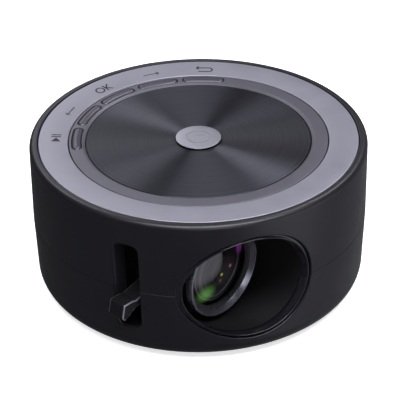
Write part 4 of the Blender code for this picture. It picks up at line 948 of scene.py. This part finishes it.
def make_icons():
    """Play and pause, left, OK, right and back, each printed outside its key."""
    half = ICON_HEIGHT / 2
    arm = half * 0.45
    play = [[(-half, -half * 0.8), (-half, half * 0.8), (half * 0.25, 0.0)]]
    for bar in (half * 0.55, half * 1.15):
        play += stroke((bar, -half * 0.8), (bar, half * 0.8))
    reach = half * 1.4
    right = stroke_path([(-reach, 0.0), (reach, 0.0)], STROKE * 0.7)
    right += stroke_path([(reach - arm, arm), (reach, 0.0), (reach - arm, -arm)], STROKE * 0.7)
    left = [[(-x, y) for x, y in strip] for strip in right]
    letter = half * 0.9
    ok = stroke_path(arc((-letter, 0.0), letter * 0.85, 0.0, TURN, 20))
    ok += stroke((letter * 0.35, -letter), (letter * 0.35, letter))
    ok += stroke((letter * 0.45, -0.1 * letter), (letter * 1.45, letter))
    ok += stroke((letter * 0.45, 0.1 * letter), (letter * 1.45, -letter))
    bend = half * 0.6
    back = stroke_path([(-reach, bend), (half * 0.8, bend)])
    back += stroke_path(arc((half * 0.8, 0.0), bend, math.pi / 2, -math.pi / 2, 10))
    back += stroke_path([(half * 0.8, -bend), (-half, -bend)])
    back += stroke_path([(arm - reach, bend + arm), (-reach, bend), (arm - reach, bend - arm)])
    for node, strips in zip(KEY_NODES, [play, left, ok, right, back]):
        printed(f"{node}_icon", strips, azimuth_of(node))


# --- Lens and its tunnel ---------------------------------------------------------------------
BEZEL_LIP = 0.45 * MM
BEZEL_BAND = 0.9 * MM
TUNNEL_HOLE = 14.6 * MM
TUNNEL_FLANGE = 1.2 * MM
TUNNEL_BEVEL = 0.6 * MM
NOSE_FACE = 1.5 * MM
NOSE_WIDTH = 2.2 * MM
FRONT_CLEAR = 13.5 * MM
RIDGES = 2
RIDGE_DROP = 0.45 * MM
BARREL_RADIUS = 13.6 * MM
CUP_RADIUS = 16.4 * MM
CUP_BACK = 31.5 * MM
BARREL_WALL = 1.6 * MM
SEAT_DEPTH = 1.4 * MM
BAFFLES = 9
BAFFLE_HEIGHT = 0.6 * MM
FRONT_BULGE = 3.4 * MM
FRONT_BACK_BULGE = 1.1 * MM
FRONT_EDGE = 1.8 * MM
REAR_BULGE = 2.0 * MM
REAR_HALF_EDGE = 1.2 * MM


def make_bezel():
    """The gloss ring that lines the opening: a rounded lip with a sunk band round it."""
    outer = OPENING_RADIUS - GAP
    inner = outer - BEZEL_WIDTH
    lip = inner + BEZEL_LIP
    back = BEZEL_SETBACK + BEZEL_DEPTH
    band = BEZEL_SETBACK + BEZEL_BAND
    section = rounded([(inner, BEZEL_SETBACK, 0.2 * MM), (lip, BEZEL_SETBACK, 0.2 * MM),
                       (lip, band, 0.1 * MM), (outer, band, 0.0), (outer, back, 0.0),
                       (inner, back, 0.0)])
    rings = [skin_ring(radius, depth) for radius, depth in section]
    put(loft("lens_bezel_ring", rings, GLOSS), "case", "gloss_black", "lens_bezel")


def make_tunnel():
    """The matt tunnel from the bezel back to its flange round the barrel."""
    outer = OPENING_RADIUS - GAP
    inner = outer - TUNNEL_WALL
    depth = BEZEL_SETBACK + BEZEL_DEPTH + GAP
    flange = TUNNEL_BACK + TUNNEL_FLANGE
    rings = [
        skin_ring(outer, depth), skin_ring(inner, depth), flat_ring(inner, flange + TUNNEL_BEVEL),
        flat_ring(inner - TUNNEL_BEVEL, flange), flat_ring(TUNNEL_HOLE, flange),
        flat_ring(TUNNEL_HOLE, TUNNEL_BACK), flat_ring(outer, TUNNEL_BACK),
    ]
    put(loft("lens_tunnel_wall", rings, MATT), "case", "matt_black", "lens_tunnel")


def make_nose():
    """The metal nose ring, and a stepped dark retainer inside it."""
    lip = NOSE_FRONT - NOSE_FACE
    inner = NOSE_RADIUS - NOSE_WIDTH
    corners = [
        (NOSE_RADIUS, NOSE_BACK, 0.2 * MM), (NOSE_RADIUS, NOSE_FRONT, 0.35 * MM),
        (NOSE_RADIUS - 0.7 * MM, NOSE_FRONT, 0.3 * MM), (inner, lip, 0.3 * MM), (inner, NOSE_BACK, 0.0),
    ]
    nose = turned("lens_nose_rim", rounded(corners), LENS_FACETS, NOSE, LENS_FRAME)
    put(nose, "lens", "nose_metal", "lens_nose_ring")

    outer = inner - 0.05 * MM
    step = (outer - FRONT_CLEAR) / RIDGES
    profile = [(outer, NOSE_BACK), (outer, lip - 0.3 * MM)]
    for ridge in range(RIDGES):
        start = outer - ridge * step
        level = lip - 0.35 * MM - ridge * RIDGE_DROP
        profile += [(start - step * 0.25, level), (start - step * 0.85, level - 0.1 * MM)]
        profile += [(start - step * 0.95, level - RIDGE_DROP)]
    profile += [(FRONT_CLEAR, NOSE_BACK)]
    retainer = turned("lens_retainer", profile, LENS_FACETS, RETAINER, LENS_FRAME)
    put(retainer, "lens", "matt_black")


def dome(radius, edge_w, bulge, steps=14):
    """Outline of a dome of (radius, w) from its middle out to its edge."""
    return [(radius * s / steps, edge_w + bulge * (1 - (s / steps) ** 2)) for s in range(steps + 1)]


def make_lenses():
    """The barrel with its baffles, the front lens with its painted rim highlights and coating reflections,
    and the coated rear lens.
    """
    bore = BARREL_RADIUS - BARREL_WALL
    cup_bore = CUP_RADIUS - BARREL_WALL
    cup_front = NOSE_BACK - GAP
    seat = FRONT_LENS_BACK + SEAT_DEPTH - GAP
    profile = [(bore, BARREL_BACK), (BARREL_RADIUS, BARREL_BACK), (BARREL_RADIUS, CUP_BACK),
               (CUP_RADIUS, CUP_BACK), (CUP_RADIUS, cup_front), (cup_bore, cup_front),
               (cup_bore, seat), (bore, seat)]
    pitch = (seat - BARREL_BACK) / (2 * BAFFLES)
    for baffle in range(BAFFLES):
        level = seat - (2 * baffle + 1) * pitch
        profile += [(bore, level), (bore - BAFFLE_HEIGHT, level - pitch * 0.2), (bore, level - pitch)]
    barrel = turned("lens_barrel_tube", profile, LENS_FACETS, MATT, LENS_FRAME)
    put(barrel, "lens", "matt_black", "lens_barrel")

    edge = FRONT_LENS_TIP - FRONT_BULGE
    front = dome(FRONT_LENS_RADIUS, edge, FRONT_BULGE)
    back = dome(FRONT_LENS_RADIUS, edge - FRONT_EDGE, -FRONT_BACK_BULGE)
    outline = front + back[::-1]
    # the front glass paints rim highlights and coating reflections in emission
    lens = turned("front_lens_glass", outline, LENS_FACETS, LENS_GLINT_PAINT, LENS_FRAME, closed=False)
    put(lens, "lens", "lens_glass", "front_lens")

    rear_w = -(low("rear_lens").y + high("rear_lens").y) / 2
    radius = high("rear_lens").x - LENS_X
    front = dome(radius, rear_w + REAR_HALF_EDGE, REAR_BULGE)
    back = dome(radius, rear_w - REAR_HALF_EDGE, -REAR_BULGE)
    outline = front + back[::-1]
    rear = turned("rear_lens_glass", outline, LENS_FACETS, GREEN_FACE, LENS_FRAME, closed=False)
    put(rear, "lens", "lens_glass", "rear_lens")


# --- Focus ring and lever --------------------------------------------------------------------
LEVER_REST = math.radians(-12.0)
LEVER_W_BACK = -high("focus_ring").y
LEVER_W_FRONT = -low("focus_ring").y
TIP_X = low("focus_ring").x
FOCUS_RING_IN = 13.9 * MM
FOCUS_RING_OUT = 17.4 * MM
LEVER_ROOT = 17.0 * MM
LEVER_ROOT_HALF = 1.4 * MM
KNOB_TOP = LENS_Z - 4.35 * MM
KNOB_FRONT = 5.0 * MM
KNOB_HEIGHT = 6.3 * MM
LEVER_HEIGHT = 3.6 * MM
KNOB_BEVEL = 0.38 * MM


def make_focus():
    """The focus ring and its lever, which flares into a knob outside the case."""
    corners = [
        (FOCUS_RING_IN, LEVER_W_BACK, 0.0), (FOCUS_RING_OUT, LEVER_W_BACK, 0.3 * MM),
        (FOCUS_RING_OUT, LEVER_W_FRONT, 0.3 * MM), (FOCUS_RING_IN, LEVER_W_FRONT, 0.0),
    ]
    ring = turned("focus_ring_band", rounded(corners), LENS_FACETS, INNER, LENS_FRAME)
    put(ring, "focus", "case_plastic", "focus_ring")

    wall_x = -math.sqrt(CASE_RADIUS**2 - SLOT_Y**2)
    root_x = LENS_X - LEVER_ROOT * math.cos(LEVER_REST)
    root_z = LENS_Z + LEVER_ROOT * math.sin(LEVER_REST)
    outline = rounded([
        (root_x, root_z + LEVER_ROOT_HALF, 0.0),
        (wall_x + 1.3 * MM, KNOB_TOP - 0.5 * MM, 1.0 * MM),
        (wall_x - 0.3 * MM, KNOB_TOP, 0.6 * MM),
        (TIP_X + 0.6 * MM, KNOB_TOP, 0.45 * MM),
        (TIP_X - 0.5 * MM, KNOB_TOP - KNOB_FRONT, 0.6 * MM),
        (TIP_X + 0.8 * MM, KNOB_TOP - KNOB_HEIGHT, 0.45 * MM),
        (wall_x + 0.6 * MM, KNOB_TOP - LEVER_HEIGHT, 1.0 * MM),
        (root_x, root_z - LEVER_ROOT_HALF, 0.0),
    ])
    upright = Matrix.Rotation(math.pi / 2, 4, "X")
    lever = prism("focus_lever", outline, LEVER_W_BACK, LEVER_W_FRONT, MATT, upright)
    # the bevels take the lighter finish that paints the lever's edge highlights
    put(bevelled(lever, KNOB_BEVEL, LEVER_EDGE_HIGHLIGHT), "focus", "case_plastic")


# --- CAD nodes that show their own shapes ----------------------------------------------------
CAD_FINISHES = (
    (CASE, ["port_plate"]),
    (STEEL, ["power_socket", "usb_socket", "hdmi_socket", "speaker_basket", "speaker_magnet"]),
    (STEEL, [f"key_switch_{number}" for number in range(1, 6)]),
    (INNER, ["audio_jack", "lens_holder", "engine_case", "fan_frame", "fan_rotor", "video_chip"]),
    (BOARD, ["main_board", "key_board"]),
    (ALUMINIUM, ["heatsink", "chip_heatsink", "led_board"]),
    (SHEET_GLASS, ["front_fresnel_lens", "rear_fresnel_lens", "heat_glass", "condenser_lens"]),
    (LCD, ["lcd_panel"]),
    (PHOSPHOR, ["lamp_led"]),
    (PAPER, ["speaker_cone"]),
)


def finish_cad_nodes():
    """Give each carried-over CAD node its material."""
    for finish, nodes in CAD_FINISHES:
        for node in nodes:
            data = frame["nodes"][node].data
            data.materials.clear()
            data.materials.append(finish)


# --- Stage -----------------------------------------------------------------------------------
STAGE_REACH = 3.0
STAGE_DEPTH = 0.02
STAGE_MOTTLE = 0.4
LIGHT_COLOR = (0.94, 0.94, 1.0)
ROOM_COLOR = (0.90, 0.91, 1.0, 1.0)
ROOM_LEVEL = 0.10
ROOM_GLOWS = (
    ((0.20, -0.95, -0.22), 16.0, 34.0, 1.3),  # floor in front
    ((-0.51, -0.80, 0.34), 6.0, 16.0, 2.2),  # seen in the nose ring
    ((0.90, 0.00, -0.45), 20.0, 60.0, 0.22),  # floor on the right
    ((0.62, -0.78, 0.05), 8.0, 20.0, 0.5),  # wall in front on the right
)  # direction, angles in degrees where it starts and stops fading, strength


def make_camera():
    """A long lens that looks down on the front left."""
    out = Vector((math.cos(CAMERA_SIDE), math.sin(CAMERA_SIDE), 0.0)) * math.cos(CAMERA_HEIGHT)
    out.z = math.sin(CAMERA_HEIGHT)
    eye = Vector((0.0, 0.0, KEY_RING_TOP)) + CAMERA_DISTANCE * out
    forward = (CAMERA_AIM - eye).normalized()
    side = forward.cross(Vector((0.0, 0.0, 1.0))).normalized()
    upward = side.cross(forward)
    leaning = math.cos(CAMERA_ROLL) * upward + math.sin(CAMERA_ROLL) * side
    across = forward.cross(leaning)
    data = bpy.data.cameras.new("camera")
    data.lens = CAMERA_LENS
    data.sensor_width = 36.0
    data.clip_start = 0.01
    camera = new_object("camera", data)
    basis = Matrix((across, leaning, -forward)).transposed().to_4x4()
    camera.matrix_world = Matrix.Translation(eye) @ basis
    bpy.context.scene.camera = camera


def make_floor():
    """A pale matt floor."""
    piece = prism("floor", square(STAGE_REACH), -STAGE_DEPTH, 0.0)
    nodes = Nodes("floor_paint")
    slow = nodes.noise(STAGE_MOTTLE)
    nodes.into("Base Color", nodes.shade(slow, (0.86, 0.86, 0.87), (0.90, 0.90, 0.90)))
    nodes.into("Roughness", nodes.spread(slow, 0.85, 0.95))
    nodes.set(Specular_IOR_Level=0.1, Emission_Color=(1.0, 1.0, 1.0, 1.0), Emission_Strength=0.65)
    piece.data.materials.append(nodes.owner)
    piece.visible_glossy = False


def add_light(name, toward, distance, size, power):
    """A softbox aimed at the object, toward (right, away, up) as the camera sees the floor."""
    right, away, up = toward
    away_axis = -Vector((math.cos(CAMERA_SIDE), math.sin(CAMERA_SIDE), 0.0))
    right_axis = away_axis.cross(Vector((0.0, 0.0, 1.0)))
    direction = (right_axis * right + away_axis * away + Vector((0.0, 0.0, up))).normalized()
    data = bpy.data.lights.new(name, "AREA")
    data.shape = "RECTANGLE"
    data.size, data.size_y = size
    data.energy = power
    data.color = LIGHT_COLOR
    light = new_object(name, data)
    aim = Vector((0.0, 0.0, RIM_TOP / 2))
    light.location = aim + direction * distance
    light.rotation_euler = direction.to_track_quat("Z", "Y").to_euler()


def make_room():
    """A grey room with a few soft glows, as a pale studio floor and its walls give."""
    nodes = Nodes("room", bpy.data.worlds, "Background", "Generated")
    nodes.set(Color=ROOM_COLOR)
    total = ROOM_LEVEL
    for toward, inner, outer, strength in ROOM_GLOWS:
        facing = nodes.add("ShaderNodeVectorMath", {0: nodes.coordinates}, operation="DOT_PRODUCT")
        facing.inputs[1].default_value = Vector(toward).normalized()
        start = math.cos(math.radians(outer))
        end = math.cos(math.radians(inner))
        glow = nodes.ramp(facing.outputs["Value"], start, end, 0.0, strength)
        total = nodes.step("ShaderNodeMath", "ADD", glow, total)
    nodes.into("Strength", total)
    bpy.context.scene.world = nodes.owner
    bpy.context.scene.view_settings.view_transform = "Standard"


def make_lights():
    """Two high softboxes and a wide one behind, one high over the front, and a weak one in front."""
    add_light("back_right_softbox", (0.38, 0.50, 0.78), 1.0, (0.26, 0.26), 3.3)
    add_light("back_left_softbox", (-0.38, 0.50, 0.78), 1.0, (0.30, 0.30), 1.8)
    add_light("back_softbox", (-0.35, 1.0, 0.60), 1.3, (0.7, 0.5), 2.0)
    add_light("top_softbox", (0.10, -0.45, 1.0), 1.0, (1.1, 0.30), 17.0)
    add_light("front_softbox", (0.15, -1.0, 0.55), 1.2, (0.5, 0.16), 1.2)


make_upper_shell()
make_lower_shell()
make_cut_edges()
make_feet_and_screws()
make_top_ring()
make_key_ring()
make_keys()
make_dial()
make_badge()
make_icons()
make_bezel()
make_tunnel()
make_nose()
make_lenses()
make_focus()
finish_cad_nodes()
make_camera()
make_floor()
make_room()
make_lights()
